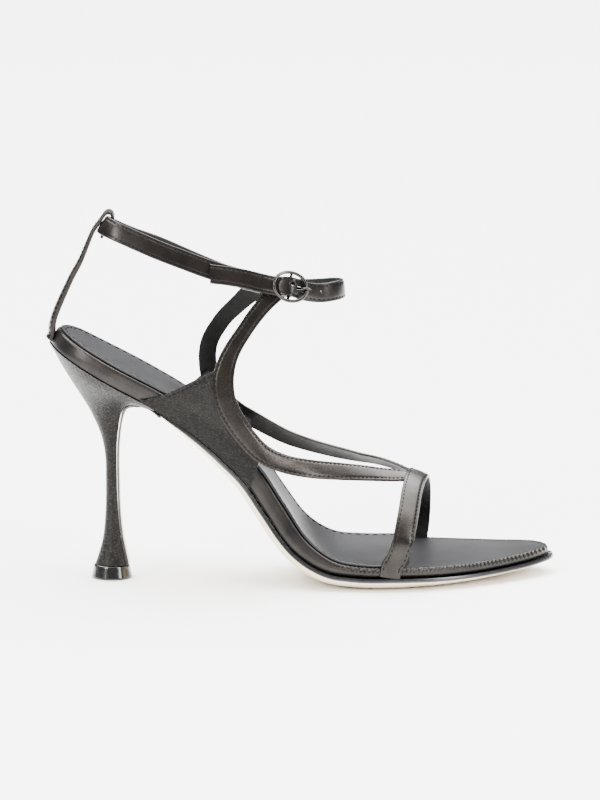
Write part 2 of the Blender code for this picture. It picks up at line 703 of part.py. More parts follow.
def heel_section(back, front, half, breast, steps, rungs):
    """A section with a round back and a straight breast, as its two sides."""
    sides = []
    for side in (-1, 1):
        points = []
        for i in range(steps + 1):
            turn = math.pi * i / (1.35 * steps)
            reach = (1 - math.cos(turn)) / (1 - math.cos(math.pi / 1.35))
            width = math.sin(turn) * half if turn < math.pi / 2 else \
                half + (breast - half) * ((turn - math.pi / 2) / (math.pi / 1.35 - math.pi / 2)) ** 2
            points.append((reach, side * width))
        sides.append(np.array(points))

    def place(reach, across):
        return Vector((back[0] + (front[0] - back[0]) * reach, across,
                       back[1] + (front[1] - back[1]) * reach))
    return (*sides, place)


def make_heel():
    shape = Shape("heel", (0.16, 0.155, 0.15), 0.42)
    steps = 11
    layers = [(*outline(0.0, (0.0, LIP_ALONG / FOOT.length), steps), seat_under)]
    layers += [heel_section(*row, steps, RUNGS) for row in reversed(heel_rows())]
    slab(shape, layers)
    return shape.done()


def make_toplift():
    shape = Shape("toplift", (0.012, 0.012, 0.012), 0.2)
    low, high = TOPLIFT_WIDTH / 2, TOPLIFT_TOP_WIDTH / 2
    foot = 0.4 * MM
    rows = ((0.0, low - foot), (foot, low), (0.7 * TOPLIFT_HEIGHT, high + 0.3 * (low - high)),
            (TOPLIFT_HEIGHT, high))
    turns = np.linspace(0, 2 * math.pi, 32, endpoint=False)
    loft(shape, [[(r * math.cos(t), r * math.sin(t), z) for t in turns] for z, r in rows])
    return shape.done(35)


def sole_track():
    """Upper face of the sole on its middle line: from the toe along the waist, round the lip and down the
    breast of the heel. Also gives the distance along it at which the lip is."""
    under = [seat_under(a, (edge_across(-1, a) + edge_across(1, a)) / 2)
             for a in np.linspace(FOOT.length, SOLE_START, 26)]
    breast = [(front[0] + GAP, front[1] - (GAP if front[1] > 0.7 * SEAT_LEVEL else 0.0))
              for _, front, _, _ in reversed(heel_rows())]
    track = Track(spline([(p.x, p.z) for p in under] + breast, 8))
    return track, float(track.at[8 * len(under) - 8])


def make_outsole():
    shape = Shape("outsole", (0.62, 0.53, 0.40), 0.6)
    track, lip = sole_track()
    reach = LEATHER + GAP + SOLE_PROUD
    heel = heel_rows()
    levels = [row[1][1] for row in heel]
    breasts = [row[3] for row in heel]
    narrow_end = lip + 0.12 * (track.length - lip)
    per_along = lip / (FOOT.length - SOLE_START)

    def to_along(t):
        return FOOT.length - t / per_along

    def thick(t):
        bed_part = SOLE_THICK * SOLE_SHARE(to_along(min(t, lip)) / FOOT.length)
        share = min(max((t - 0.93 * lip) / (0.12 * lip), 0.0), 1.0)
        return bed_part + (BREAST_THICK - bed_part) * share * share * (3 - 2 * share)

    def flat_sides(inward):
        sides = []
        for side, curve in zip((-1, 1), outline(reach - inward, (SOLE_START / FOOT.length, 1.0), 30)):
            on_bed = [((FOOT.length - a) * per_along, y - side * lip_taper(a)) for a, y in curve[::-1]]
            down = []
            start = abs(on_bed[-1][1])
            for t in np.linspace(lip, track.length, 15)[1:]:
                breast = float(np.interp(track.place(t)[1], levels, breasts)) * (1 - inward / BREAST_RUN_OUT)
                share = min((t - lip) / (narrow_end - lip), 1.0)
                down.append((t, side * (start + (breast - start) * math.sin(share * math.pi / 2))))
            sides.append(np.array(on_bed + down))
        return sides

    def at_depth(share, edge):
        def place(t, y):
            along = to_along(t)
            inside = min(max(along, 0.0), FOOT.length)
            low, high = edge_across(-1, inside), edge_across(1, inside)
            off = min(abs(y - (low + high) / 2) / max((high - low) / 2, MM), 1.0)
            rise = DISH * DISH_SHARE(inside / FOOT.length) * off * off if t < lip else 0.0
            whole = thick(t)
            depth = min(SOLE_EDGE, 0.8 * whole) * edge + whole * share
            x, z = track.place(t, min(depth, whole) - rise)
            return Vector((x, y, max(z, 0.0)))
        return place

    slab(shape, [(*flat_sides(inward), at_depth(depth, edge)) for _, inward, edge, depth in SOLE_CONTOUR])
    return shape.done(40)


def stand(share, rise):
    """Place over the footbed, from a share of its span on the floor and a rise above the sock."""
    x = span_x(share)
    return x, footbed_height(x) + SOCK_THICK + LAYER_GAP + rise


def strap_rows(table, side):
    """A side strap's table as (x, y, z, lean, width)."""
    rows = []
    for _, share, ankle, vamp, ball, spread, lean, width in table:
        x, z = stand(share, ankle * ANKLE_RISE + vamp * VAMP_RISE)
        y = side * (ball * BALL_WIDTH + spread * ANKLE_SPREAD)
        rows.append((x, y, z, lean, width * STRAP_WIDTH))
    return rows


def strap_path(table, side):
    """A side strap's path, from the ankle strap to the V."""
    path = []
    for x, y, z, lean, width in along_table(strap_rows(table, side)):
        out = (0, side * math.cos(math.radians(lean)), math.sin(math.radians(lean)))
        path.append(((x, y, z), out, width, LEATHER, STRAP_BOW))
    return path


def landing(shares, side):
    """Places up the board's side for a strap: inner face points at the sole, the edge and just above."""
    foot, edge, above = (footbed_along(span_x(share)) for share in shares)
    step = 2 * MM
    slope = (edge_across(side, edge + step) - edge_across(side, edge - step)) / (2 * step)
    out = Vector((-side * slope, side, 0)).normalized()
    points = [bed(foot, edge_across(side, foot, GAP), 0.1 * MM - board_depth(foot)),
              bed(edge, edge_across(side, edge, GAP), -1.5 * MM),
              bed(above, edge_across(side, above, GAP) + side * 0.35 * MM, 2.2 * MM)]
    return points, out


def vamp_path():
    rows = []
    points, out = landing(VAMP_LANDINGS[0][1:], -1)
    rows += [(*p, *out) for p in points]
    for _, share, vamp, ball, turn in VAMP_ARCH:
        x, z = stand(share, vamp * VAMP_RISE)
        turn = math.radians(turn)
        rows.append((x, ball * BALL_WIDTH, z, VAMP_TILT * math.sin(turn), -math.cos(turn), math.sin(turn)))
    points, out = landing(VAMP_LANDINGS[1][1:], 1)
    rows += [(*p, *out) for p in reversed(points)]
    return [(row[:3], row[3:6], VAMP_STRAP_WIDTH, LEATHER, VAMP_STRAP_BOW) for row in along_table(rows)]


def panel_grid(side, edges, strap):
    """Inner face of a quarter panel, from the sole up to the middle of the strap over it."""
    first, last = ([row[0] for row in strap].index(edge[1]) for edge in edges)
    under = PANEL_THICK - GAP
    top = [(x, y - side * under, z) for x, y, z, _, _ in strap_rows(strap, side)[first:last + 1]]
    top = spaced(spline(top, 8), PANEL_COLUMNS + 1)
    grid = []
    for i, crown in enumerate(top):
        share = i / PANEL_COLUMNS
        low, high = (FOOT.length * (edges[0][k] + (edges[1][k] - edges[0][k]) * share) for k in (2, 3))
        middle = (low + high) / 2
        foot = [bed(along, edge_across(side, along, GAP), -depth) for along, depth in
                ((low, board_depth(low)), (middle, board_depth(middle) / 2), (high, 0.0))]
        edge, crown = foot[-1], Vector(crown)
        steps = [edge.lerp(crown, k / PANEL_ROWS) for k in range(1, PANEL_ROWS + 1)]
        bulge = min(0.4 * MM, 0.03 * (crown - edge).length)
        for k, p in enumerate(steps, 1):
            p.y += side * bulge * math.sin(math.pi * k / PANEL_ROWS)
        grid.append(foot + steps)
    return grid


def sheet(shape, grid, thick, side):
    """A curved sheet of one thickness over a grid of points."""
    def normal(i, j):
        a = grid[min(i + 1, len(grid) - 1)][0] - grid[max(i - 1, 0)][0]
        b = grid[i][min(j + 1, len(grid[0]) - 1)] - grid[i][max(j - 1, 0)]
        n = a.cross(b).normalized()
        return n if n.y * side > 0 else -n
    inner = [[shape.bm.verts.new(p) for p in row] for row in grid]
    outer = [[shape.bm.verts.new(p + normal(i, j) * thick) for j, p in enumerate(row)]
             for i, row in enumerate(grid)]
    for face in (inner, outer):
        for one, two in zip(face, face[1:]):
            shape.strip(one, two, closed=False)
    shape.strip(inner[0], outer[0], closed=False)
    shape.strip(inner[-1], outer[-1], closed=False)
    for j in (0, -1):
        shape.strip([row[j] for row in inner], [row[j] for row in outer], closed=False)


def make_upper():
    finish = ((0.10, 0.09, 0.08), 0.38, 0.5)
    pieces = []
    for name, table, side in (("outer_strap", OUTER_STRAP, -1), ("inner_strap", INNER_STRAP, 1)):
        shape = Shape(name, *finish)
        ribbon(shape, strap_path(table, side))
        pieces.append(shape.done())
    for name, edges, strap, side in (("outer_panel", OUTER_PANEL, OUTER_STRAP, -1),
                                     ("inner_panel", INNER_PANEL, INNER_STRAP, 1)):
        shape = Shape(name, *finish)
        sheet(shape, panel_grid(side, edges, strap), PANEL_THICK, side)
        pieces.append(shape.done())
    shape = Shape("upper", *finish)
    ribbon(shape, vamp_path())
    upper = shape.done()
    join(upper, *pieces)
    return upper


class Loop:
    """The ankle strap's inner face as a closed curve, read by distance from the buckle's bar."""

    def __init__(self):
        rows = []
        for _, share, ankle, spread, cant in ANKLE_PATH:
            x, z = stand(share, ankle * ANKLE_RISE)
            rows.append((x, spread * ANKLE_SPREAD, z, cant))
        dense = spline(rows, 10, closed=True)
        self.points = np.vstack([dense, dense[:1]])
        self.at = measured(self.points[:, :3])
        self.length = self.at[-1]
        self.middle = self.points[:, :2].mean(axis=0)
        self.back = float(self.at[10 * [row[0] for row in ANKLE_PATH].index("back")])

    def row(self, distance):
        d = distance % self.length
        return np.array([np.interp(d, self.at, c) for c in self.points.T])

    def frame(self, distance):
        """Inner face point, direction of travel, outward direction and width direction."""
        step = 0.6 * MM
        here, before, after = (self.row(distance + d) for d in (0.0, -step, step))
        run = Vector(after[:3] - before[:3]).normalized()
        flat = Vector((run.y, -run.x, 0)).normalized()
        if flat.dot(Vector((here[0] - self.middle[0], here[1] - self.middle[1], 0))) < 0:
            flat = -flat
        cant = math.radians(here[3])
        out = flat * math.cos(cant) + Vector((0, 0, math.sin(cant)))
        out = (out - run * run.dot(out)).normalized()
        return Vector(here[:3]), run, out, run.cross(out)

    def spot(self, distance, rise, across=0.0):
        point, _, out, wide = self.frame(distance)
        return point + out * rise + wide * across


LOOP = Loop()
FIXED = [smooth(FIXED_END, k, 1) for k in (2, 3, 4, 5)]
FREE = [smooth(FREE_END, k, 1) for k in (2, 3, 4, 5)]


def fold_points():
    """Flesh side of the strap's end round the bar, as (distance, rise, turn of the out direction)."""
    radius = BAR_WIRE / 2 + 0.8 * GAP
    points = [(TAIL_LENGTH, BAR_RISE - radius - 0.1 * MM, 180), (TAIL_LENGTH / 2, BAR_RISE - radius, 180)]
    for turn in (180, 144, 108, 72, 36, 0):
        t = math.radians(turn)
        points.append((-radius * math.sin(t), BAR_RISE + radius * math.cos(t), turn))
    return points


def make_ankle_strap():
    shape = Shape("ankle_strap", (0.075, 0.07, 0.065), 0.45, 0.3)
    path = []
    for distance, rise, turn in fold_points():
        point, run, out, _ = LOOP.frame(0.0)
        t = math.radians(turn)
        way = out * math.cos(t) - run * math.sin(t)
        path.append((point + run * distance + out * rise, way, ANKLE_WIDTH, 0.55 * ANKLE_THICK, 0.0))
    once_round = tuple(np.linspace(17.0, LOOP.length / MM - 20.0, 34))
    to_the_tip = tuple(np.linspace(17.5, TIP_REACH / MM, 6))
    for layer, distances in ((FIXED, PAST_BAR + once_round), (FREE, BEFORE_BAR + PAST_BAR + to_the_tip)):
        for d in distances:
            rise, share, bow, shift = (column(d) for column in layer)
            point, _, out, wide = LOOP.frame(d * MM)
            path.append((point + out * rise * MM + wide * shift * MM, out, ANKLE_WIDTH,
                         share * ANKLE_THICK, bow * MM))
    ribbon(shape, path, slant=(0.0, TIP_SLANT))
    strap = shape.done(60)
    for name, at_bar, (start, end, low, high) in (("bar_slot", True, BAR_SLOT), ("tip_slot", False, TIP_SLOT)):
        cutter = Shape(name, (0.5, 0.5, 0.5), 0.5)
        mid = 0.0 if at_bar else (start + end) / 2
        point, run, out, wide = LOOP.frame(mid * MM)
        rings = []
        for d in (start - mid, end - mid):
            rings.append([point + run * d * MM + out * h * MM + wide * w * SLOT_WIDTH / 2
                          for h, w in ((low, -1), (low, 1), (high, 1), (high, -1))])
        loft(cutter, rings)
        body = cutter.done()
        body.hide_render = True
        body.display_type = "WIRE"
        cut = strap.modifiers.new(name, "BOOLEAN")
        cut.operation = "DIFFERENCE"
        cut.solver = "EXACT"
        cut.object = body
    return strap


def buckle_spot(distance, rise, across):
    """A place on the buckle, which is flat along and only follows the strap's direction at the bar."""
    point, run, out, wide = LOOP.frame(0.0)
    return point + run * distance + out * rise + wide * across


def make_buckle_frame():
    shape = Shape("buckle_frame", (0.75, 0.73, 0.70), 0.12, 1.0)
    long_way, wide_way = (FRAME_LENGTH - FRAME_WIRE) / 2, (FRAME_WIDTH - FRAME_WIRE) / 2
    front, level, rear = FRAME_RISE
    turn = math.radians(FRAME_TURN)
    points = []
    for t in np.linspace(0, 2 * math.pi, 32, endpoint=False):
        a, b = long_way * math.cos(t), wide_way * math.sin(t)
        end = rear if a > 0 else front
        rise = level + (end - level) * (a / long_way) ** 2
        points.append(buckle_spot(a * math.cos(turn) - b * math.sin(turn), rise,
                                  a * math.sin(turn) + b * math.cos(turn)))
    round_tube(shape, points, FRAME_WIRE / 2, closed=True)
    frame = shape.done(60)
    bar = Shape("bar", (0.75, 0.73, 0.70), 0.12, 1.0)
    reach = wide_way * math.cos(turn)
    ends = [(-reach - 0.1 * MM, level), (-reach + 0.5 * MM, 0.5 * (level + BAR_RISE)), (-4.6 * MM, BAR_RISE)]
    round_tube(bar, [buckle_spot(0, h, w) for w, h in ends + [(-w, h) for w, h in reversed(ends)]],
               BAR_WIRE / 2)
    join(frame, bar.done(60))
    return frame


def make_buckle_prong():
    shape = Shape("buckle_prong", (0.75, 0.73, 0.70), 0.12, 1.0)
    radius = (BAR_WIRE + PRONG_WIRE) / 2 + 0.6 * GAP
    points = []
    for turn in range(300, 89, -35):
        t = math.radians(turn)
        points.append((-radius * math.cos(t), BAR_RISE + radius * math.sin(t)))
    spots = [buckle_spot(d, h, 0) for d, h in points]
    spots += [buckle_spot(-d * MM, h * MM, 0) for d, h in PRONG]
    radii = [PRONG_WIRE / 2] * (len(spots) - 1) + [0.3 * PRONG_WIRE]
    round_tube(shape, spots, radii)
    return shape.done(60)


def make_back_stay():
    shape = Shape("back_stay", (0.13, 0.12, 0.115), 0.45)
    point, _, out, _ = LOOP.frame(LOOP.back)
    up = Vector((out.z, 0, -out.x))
    half = ANKLE_WIDTH / 2
    clear = ANKLE_THICK + 1.6 * GAP

    def by_strap(along, rise):
        p = point + up * along + out * rise
        return (p.x, p.z)

    rows = [FOOT.place(-1.5 * GAP, -depth) for depth in STAY_FOOT] + [(x * MM, z * MM) for _, x, z in BACK_STAY]
    rows += [by_strap(-half, clear + 0.1 * MM), by_strap(0.0, clear), by_strap(half, clear)]
    over = len(rows) - 1
    radius = ANKLE_THICK / 2 + GAP
    for turn in (45, 90, 135):
        t = math.radians(turn)
        rows.append(by_strap(half + GAP + radius * math.sin(t), ANKLE_THICK / 2 + radius * math.cos(t)))
    inside = -3.7 * GAP
    rows += [by_strap(half, inside), by_strap(0.0, inside), by_strap(-half - 0.8 * MM, inside)]
    curve = spline(rows, 4)
    path = np.vstack([spaced(curve[:4 * over + 1], STAY_SECTIONS), curve[4 * over + 2::2]])
    ribbon_rows = []
    for i, ((x, z), (run_x, run_z)) in enumerate(zip(path, np.gradient(path, axis=0))):
        share = min(i / (STAY_SECTIONS - 1), 1.0)
        width = STAY_WIDTH + (STAY_TOP_WIDTH - STAY_WIDTH) * share
        thick = STAY_THICK + (STAY_TOP_THICK - STAY_THICK) * share ** 3
        ribbon_rows.append(((x, 0, z), (-run_z, 0, run_x), width, thick, STAY_BOW * (1 - share)))
    ribbon(shape, ribbon_rows)
    return shape.done(60)


def build():
    for obj in list(bpy.data.objects):
        bpy.data.objects.remove(obj)
    make_board()
    make_sock()
    make_heel()
    make_toplift()
    make_outsole()
    make_upper()
    make_ankle_strap()
    make_buckle_frame()
    make_buckle_prong()
    make_back_stay()


build()
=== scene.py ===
"""Looks of the strappy heeled sandal, a right shoe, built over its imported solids.

Metres, +Z up, +X to the toe, +Y to the inner side of the foot, origin in the middle of the toplift's foot.
The straps, panels and sole layers are made again on the solids' own curves, finer and with their folded
edges, seams, stitches and embossing. Each piece replaces the node that it stands for.
"""
import json
import math

import bpy
import numpy as np
from mathutils import Matrix, Vector

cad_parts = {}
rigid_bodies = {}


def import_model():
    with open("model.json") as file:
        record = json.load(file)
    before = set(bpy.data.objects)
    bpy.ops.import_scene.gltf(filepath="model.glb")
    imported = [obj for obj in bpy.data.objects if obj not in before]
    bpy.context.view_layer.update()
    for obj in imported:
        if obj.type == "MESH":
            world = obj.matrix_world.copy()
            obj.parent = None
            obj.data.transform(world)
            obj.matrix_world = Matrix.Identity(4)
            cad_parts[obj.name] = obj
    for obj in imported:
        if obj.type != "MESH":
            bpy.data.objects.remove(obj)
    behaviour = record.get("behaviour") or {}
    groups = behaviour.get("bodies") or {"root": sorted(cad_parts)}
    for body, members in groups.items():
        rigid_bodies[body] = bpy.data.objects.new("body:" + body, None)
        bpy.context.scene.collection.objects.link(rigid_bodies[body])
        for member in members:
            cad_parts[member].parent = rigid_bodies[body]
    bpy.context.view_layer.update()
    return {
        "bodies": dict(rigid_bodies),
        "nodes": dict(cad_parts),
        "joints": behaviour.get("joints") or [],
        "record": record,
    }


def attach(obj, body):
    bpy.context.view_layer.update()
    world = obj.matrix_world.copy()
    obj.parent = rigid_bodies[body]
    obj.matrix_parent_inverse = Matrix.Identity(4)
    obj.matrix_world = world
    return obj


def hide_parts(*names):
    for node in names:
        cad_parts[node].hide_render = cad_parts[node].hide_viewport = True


MM = 0.001
GAP = 0.3 * MM                      # between touching pieces
LAYER_GAP = 0.4 * MM                # between the layers of the sole, which are hollow across

# Footbed
FOOTBED_SPAN = 213.5 * MM           # back of the heel to the tip of the toe, on the floor
HEEL_BACK = 22.5 * MM               # back of the footbed behind the origin
BALL_LEVEL = 12.0 * MM              # top of the sock at the ball
SEAT_RISE = 100.5 * MM              # back of the footbed above the ball
BALL_WIDTH = 73.0 * MM
SEAT_WIDTH = 50.0 * MM
DISH = 2.4 * MM                     # how far the middle of the footbed lies below its edges, at the ball

# Sole
SOCK_THICK = 0.9 * MM
SOCK_INSET = 1.0 * MM
SOCK_END = 0.745                    # share of the footbed's length
SOCK_BULGE = 3.0 * MM               # its front edge is curved forward
BOARD_THICK = 6.8 * MM
BOARD_SOFT = 1.5 * MM               # its upper edge is rounded
SOLE_THICK = 5.2 * MM
SOLE_EDGE = 1.6 * MM                # painted edge
SOLE_PROUD = 0.4 * MM               # sole past the straps that end on it
BREAST_THICK = 1.1 * MM             # sole leather down the front of the heel

# Heel
TOPLIFT_HEIGHT = 5.9 * MM
TOPLIFT_WIDTH = 17.7 * MM
TOPLIFT_TOP_WIDTH = 15.4 * MM
LIP_REACH = 20.0 * MM               # tip of the heel's front lip from the origin
LIP_TAPER = 3.5 * MM                # the sole's edge draws in this far towards the lip
LIP_TAPER_RUN = 28.0 * MM

# Straps
LEATHER = 1.3 * MM
PANEL_THICK = 1.1 * MM
STRAP_WIDTH = 8.2 * MM
STRAP_BOW = 0.35 * MM               # edges behind the middle
VAMP_STRAP_WIDTH = 9.2 * MM
VAMP_STRAP_BOW = 0.45 * MM
VAMP_RISE = 34.0 * MM               # V of the side straps above the footbed
ANKLE_RISE = 87.0 * MM              # ankle strap above the footbed, where the side straps meet it
ANKLE_SPREAD = 17.0 * MM            # half the ankle strap's loop across
ANKLE_THICK = 1.5 * MM
ANKLE_WIDTH = 8.4 * MM
STAY_WIDTH = 11.5 * MM
STAY_TOP_WIDTH = 10.0 * MM
STAY_THICK = 2.2 * MM
STAY_TOP_THICK = 1.3 * MM
STAY_BOW = 1.3 * MM                 # its edges lie behind its middle, at the foot
STAY_FOOT = (6.6 * MM, 4.6 * MM)    # where it lies on the back of the board, below the footbed

# Buckle
FRAME_LENGTH = 16.5 * MM
FRAME_WIDTH = 13.9 * MM
FRAME_WIRE = 1.5 * MM
BAR_WIRE = 1.2 * MM
PRONG_WIRE = 1.0 * MM
FRAME_TURN = 8.0                    # degrees, how far the oval is turned on the strap

SIDE_STEPS = 36                     # steps along each side of a sole outline
RUNGS = 6                           # steps across a sole piece
STATION = 4.2 * MM                  # spacing of the sections along a strap

# place, share of the span, share of the seat's rise
FOOTBED = (
    ("heel back", 0.000, 1.000),
    ("seat", 0.088, 0.889),
    ("seat middle", 0.199, 0.762),
    ("shank start", 0.262, 0.682),
    ("shank", 0.318, 0.592),
    ("waist", 0.368, 0.494),
    ("arch", 0.410, 0.400),
    ("arch steep", 0.456, 0.252),
    ("arch foot", 0.505, 0.104),
    ("joint", 0.560, 0.024),
    ("ball back", 0.620, 0.003),
    ("ball", 0.690, 0.000),
    ("ball front", 0.790, -0.003),
    ("toes", 0.900, 0.003),
    ("toe tip", 1.000, 0.016),
)

# place, share of the footbed's length, share of the ball's width
OUTER_SIDE = (
    ("heel tip", 0.000, 0.000),
    ("heel back", 0.028, -0.245),
    ("seat", 0.105, -0.354),
    ("seat front", 0.195, -0.350),
    ("shank", 0.320, -0.312),
    ("waist", 0.420, -0.306),
    ("arch", 0.520, -0.345),
    ("joint", 0.610, -0.420),
    ("ball", 0.690, -0.456),
    ("ball front", 0.770, -0.425),
    ("small toes", 0.850, -0.320),
    ("toes", 0.930, -0.135),
    ("toe round", 0.980, 0.030),
)
INNER_SIDE = (
    ("toe tip", 1.000, 0.185),
    ("toe round", 0.978, 0.325),
    ("big toe", 0.900, 0.440),
    ("ball front", 0.820, 0.515),
    ("ball", 0.735, 0.545),
    ("joint", 0.660, 0.525),
    ("arch foot", 0.580, 0.425),
    ("arch", 0.500, 0.305),
    ("waist", 0.410, 0.262),
    ("shank", 0.300, 0.292),
    ("seat front", 0.195, 0.347),
    ("seat", 0.105, 0.354),
    ("heel back", 0.028, 0.245),
)

# share of the footbed's length, then shares of the board's thickness, the dish and the sole's thickness
SOLE_LAYERS = (
    (0.00, 1.08, 0.25, 0.30),
    (0.12, 1.10, 0.45, 0.30),
    (0.20, 1.12, 0.45, 0.36),
    (0.32, 1.18, 0.40, 0.74),
    (0.42, 1.20, 0.40, 0.84),
    (0.52, 1.14, 0.55, 0.88),
    (0.60, 0.92, 0.78, 1.00),
    (0.66, 0.68, 0.92, 1.00),
    (0.72, 0.63, 1.00, 1.00),
    (0.85, 0.62, 0.80, 0.76),
    (1.00, 0.58, 0.20, 0.62),
)

# Sole from its upper edge round to its underside: distance in from the edge, share of the painted edge, share
# of the full thickness
SOLE_CONTOUR = (
    ("upper edge", 0.0, 0.00, 0.00),
    ("lower edge", 0.0, 1.00, 0.00),
    ("round", 2.4 * MM, 0.85, 0.30),
    ("under the round", 8.0 * MM, 0.30, 0.80),
    ("middle", 14.0 * MM, 0.00, 1.00),
)
BREAST_RUN_OUT = 20.0 * MM          # the same distances count for less down the narrow breast
BREAST_NARROW_RUN = 0.12            # share of the breast in which the sole narrows to it
LIP_THIN_FROM = 0.93                # share of the way to the lip where the sole starts to thin
LIP_THIN_RUN = 0.12                 # and the share in which it does
# places on the contour, in rows of its table, that the shown sole has layers at
SOLE_CONTOUR_STEPS = (0.12, 0.9, 1.0, 1.3, 1.6, 2.0, 2.35, 2.7, 3.0, 3.35, 3.7, 4.0)

# Heel, bottom to top. Heights are shares of the seat's height, backs and fronts are shares of the lip's
# reach, widths are shares of the seat's. The last column is how wide the breast is in its section.
HEEL = (
    ("on the toplift", 0.059, -0.360, 0.059, 0.325, 0.284, 0.80),
    ("flare", 0.117, -0.262, 0.117, 0.262, 0.238, 0.80),
    ("lower stem", 0.175, -0.190, 0.175, 0.200, 0.190, 0.82),
    ("neck", 0.290, -0.135, 0.290, 0.138, 0.154, 0.84),
    ("neck top", 0.417, -0.124, 0.417, 0.116, 0.146, 0.84),
    ("stem", 0.505, -0.130, 0.505, 0.110, 0.152, 0.84),
    ("stem widens", 0.560, -0.165, 0.556, 0.117, 0.170, 0.84),
    ("stem top", 0.615, -0.235, 0.608, 0.140, 0.202, 0.84),
    ("throat", 0.669, -0.347, 0.662, 0.177, 0.252, 0.84),
    ("lower bell", 0.726, -0.492, 0.709, 0.232, 0.347, 0.84),
    ("bell", 0.792, -0.700, 0.741, 0.310, 0.502, 0.84),
    ("upper bell", 0.860, -0.918, 0.758, 0.443, 0.702, 0.86),
    ("under the seat", 0.930, -1.130, 0.760, 0.660, 0.880, 0.90),
)

# Side straps: share of the span, rise as shares of the ankle's and of the vamp's, distance across as shares
# of the ball's width and of the ankle strap's spread, lean of the face from upright in degrees, width
OUTER_STRAP = (
    ("under the ankle strap", 0.447, 1.028, 0.000, 0.000, 0.840, 10, 1.10),
    ("instep top", 0.421, 0.861, 0.000, 0.080, 0.640, 12, 0.90),
    ("instep", 0.398, 0.723, 0.000, 0.170, 0.370, 12, 0.85),
    ("side", 0.378, 0.605, 0.000, 0.245, 0.180, 11, 0.83),
    ("side bend", 0.355, 0.465, 0.000, 0.305, 0.070, 10, 0.90),
    ("quarter top", 0.342, 0.362, 0.000, 0.350, 0.000, 9, 1.02),
    ("quarter", 0.336, 0.277, 0.000, 0.371, 0.000, 9, 1.13),
    ("quarter bend", 0.337, 0.211, 0.000, 0.386, 0.000, 10, 1.14),
    ("quarter low", 0.346, 0.158, 0.000, 0.396, 0.000, 12, 1.13),
    ("quarter foot", 0.365, 0.093, 0.064, 0.402, 0.000, 16, 1.10),
    ("forward bend", 0.387, 0.043, 0.137, 0.400, 0.000, 20, 1.06),
    ("forward", 0.413, 0.012, 0.231, 0.390, 0.000, 24, 1.04),
    ("waist", 0.456, 0.000, 0.531, 0.365, 0.000, 28, 1.02),
    ("arch", 0.508, 0.000, 0.902, 0.326, 0.000, 32, 1.05),
    ("joint", 0.565, 0.000, 1.067, 0.247, 0.000, 38, 1.06),
    ("towards the V", 0.620, 0.000, 1.054, 0.151, 0.000, 46, 1.04),
    ("V", 0.672, 0.000, 0.998, 0.060, 0.000, 58, 1.00),
    ("under the vamp strap", 0.732, 0.000, 0.964, 0.000, 0.000, 74, 0.94),
)
INNER_STRAP = (
    ("under the ankle strap", 0.441, 0.958, 0.000, 0.000, 0.820, 9, 1.20),
    ("instep top", 0.394, 0.778, 0.000, 0.050, 0.650, 12, 1.10),
    ("instep", 0.363, 0.634, 0.000, 0.150, 0.370, 12, 0.98),
    ("side", 0.336, 0.504, 0.000, 0.222, 0.180, 11, 0.93),
    ("side bend", 0.318, 0.399, 0.000, 0.276, 0.070, 10, 0.93),
    ("quarter top", 0.305, 0.309, 0.000, 0.318, 0.000, 9, 0.94),
    ("quarter", 0.300, 0.226, 0.000, 0.343, 0.000, 9, 0.95),
    ("quarter bend", 0.302, 0.155, 0.000, 0.363, 0.000, 10, 0.98),
    ("quarter low", 0.310, 0.094, 0.000, 0.382, 0.000, 12, 1.00),
    ("quarter foot", 0.329, 0.044, 0.039, 0.394, 0.000, 16, 1.02),
    ("forward bend", 0.358, 0.026, 0.088, 0.402, 0.000, 21, 1.02),
    ("forward", 0.391, 0.014, 0.203, 0.404, 0.000, 26, 1.00),
    ("waist", 0.422, 0.000, 0.367, 0.404, 0.000, 30, 0.98),
    ("arch", 0.461, 0.000, 0.623, 0.397, 0.000, 34, 0.98),
    ("arch top", 0.507, 0.000, 0.930, 0.377, 0.000, 38, 0.98),
    ("joint", 0.556, 0.000, 1.077, 0.329, 0.000, 42, 1.00),
    ("towards the V", 0.603, 0.000, 1.097, 0.267, 0.000, 46, 1.00),
    ("V", 0.660, 0.000, 1.083, 0.150, 0.000, 52, 0.98),
    ("under the vamp strap", 0.732, 0.000, 0.971, 0.045, 0.000, 68, 0.94),
)

# Vamp strap above the board's edges, from the outer to the inner side: share of the span, share of the
# vamp's rise, share of the ball's width, turn of the face in degrees from straight out on the outer side
VAMP_ARCH = (
    ("outer rise", 0.697, 0.278, -0.462, 10),
    ("outer side", 0.703, 0.448, -0.420, 24),
    ("outer shoulder", 0.710, 0.646, -0.345, 40),
    ("outer top", 0.716, 0.829, -0.235, 56),
    ("towards the top", 0.723, 0.941, -0.110, 72),
    ("top", 0.730, 0.986, 0.014, 90),
    ("past the top", 0.735, 0.949, 0.145, 108),
    ("inner top", 0.738, 0.830, 0.272, 126),
    ("inner shoulder", 0.740, 0.628, 0.390, 144),
    ("inner side", 0.740, 0.410, 0.482, 158),
    ("inner rise", 0.739, 0.223, 0.535, 170),
)
# where its ends lie: side, shares of the span at the sole, on the board's edge and just above it
VAMP_LANDINGS = (
    ("outer", 0.672, 0.673, 0.682),
    ("inner", 0.734, 0.734, 0.736),
)
VAMP_TILT = 0.42                    # how far its face tips to the toe, at the top

# Quarter panels: edge, side strap's row it runs up to, shares of the footbed's length at the board's lower
# and upper edges
OUTER_PANEL = (
    ("back edge", "quarter top", 0.178, 0.211),
    ("front edge", "forward", 0.437, 0.418),
)
INNER_PANEL = (
    ("back edge", "quarter bend", 0.200, 0.250),
    ("front edge", "forward", 0.410, 0.405),
)
PANEL_COLUMNS = 150
PANEL_ROWS = 40                     # above the board

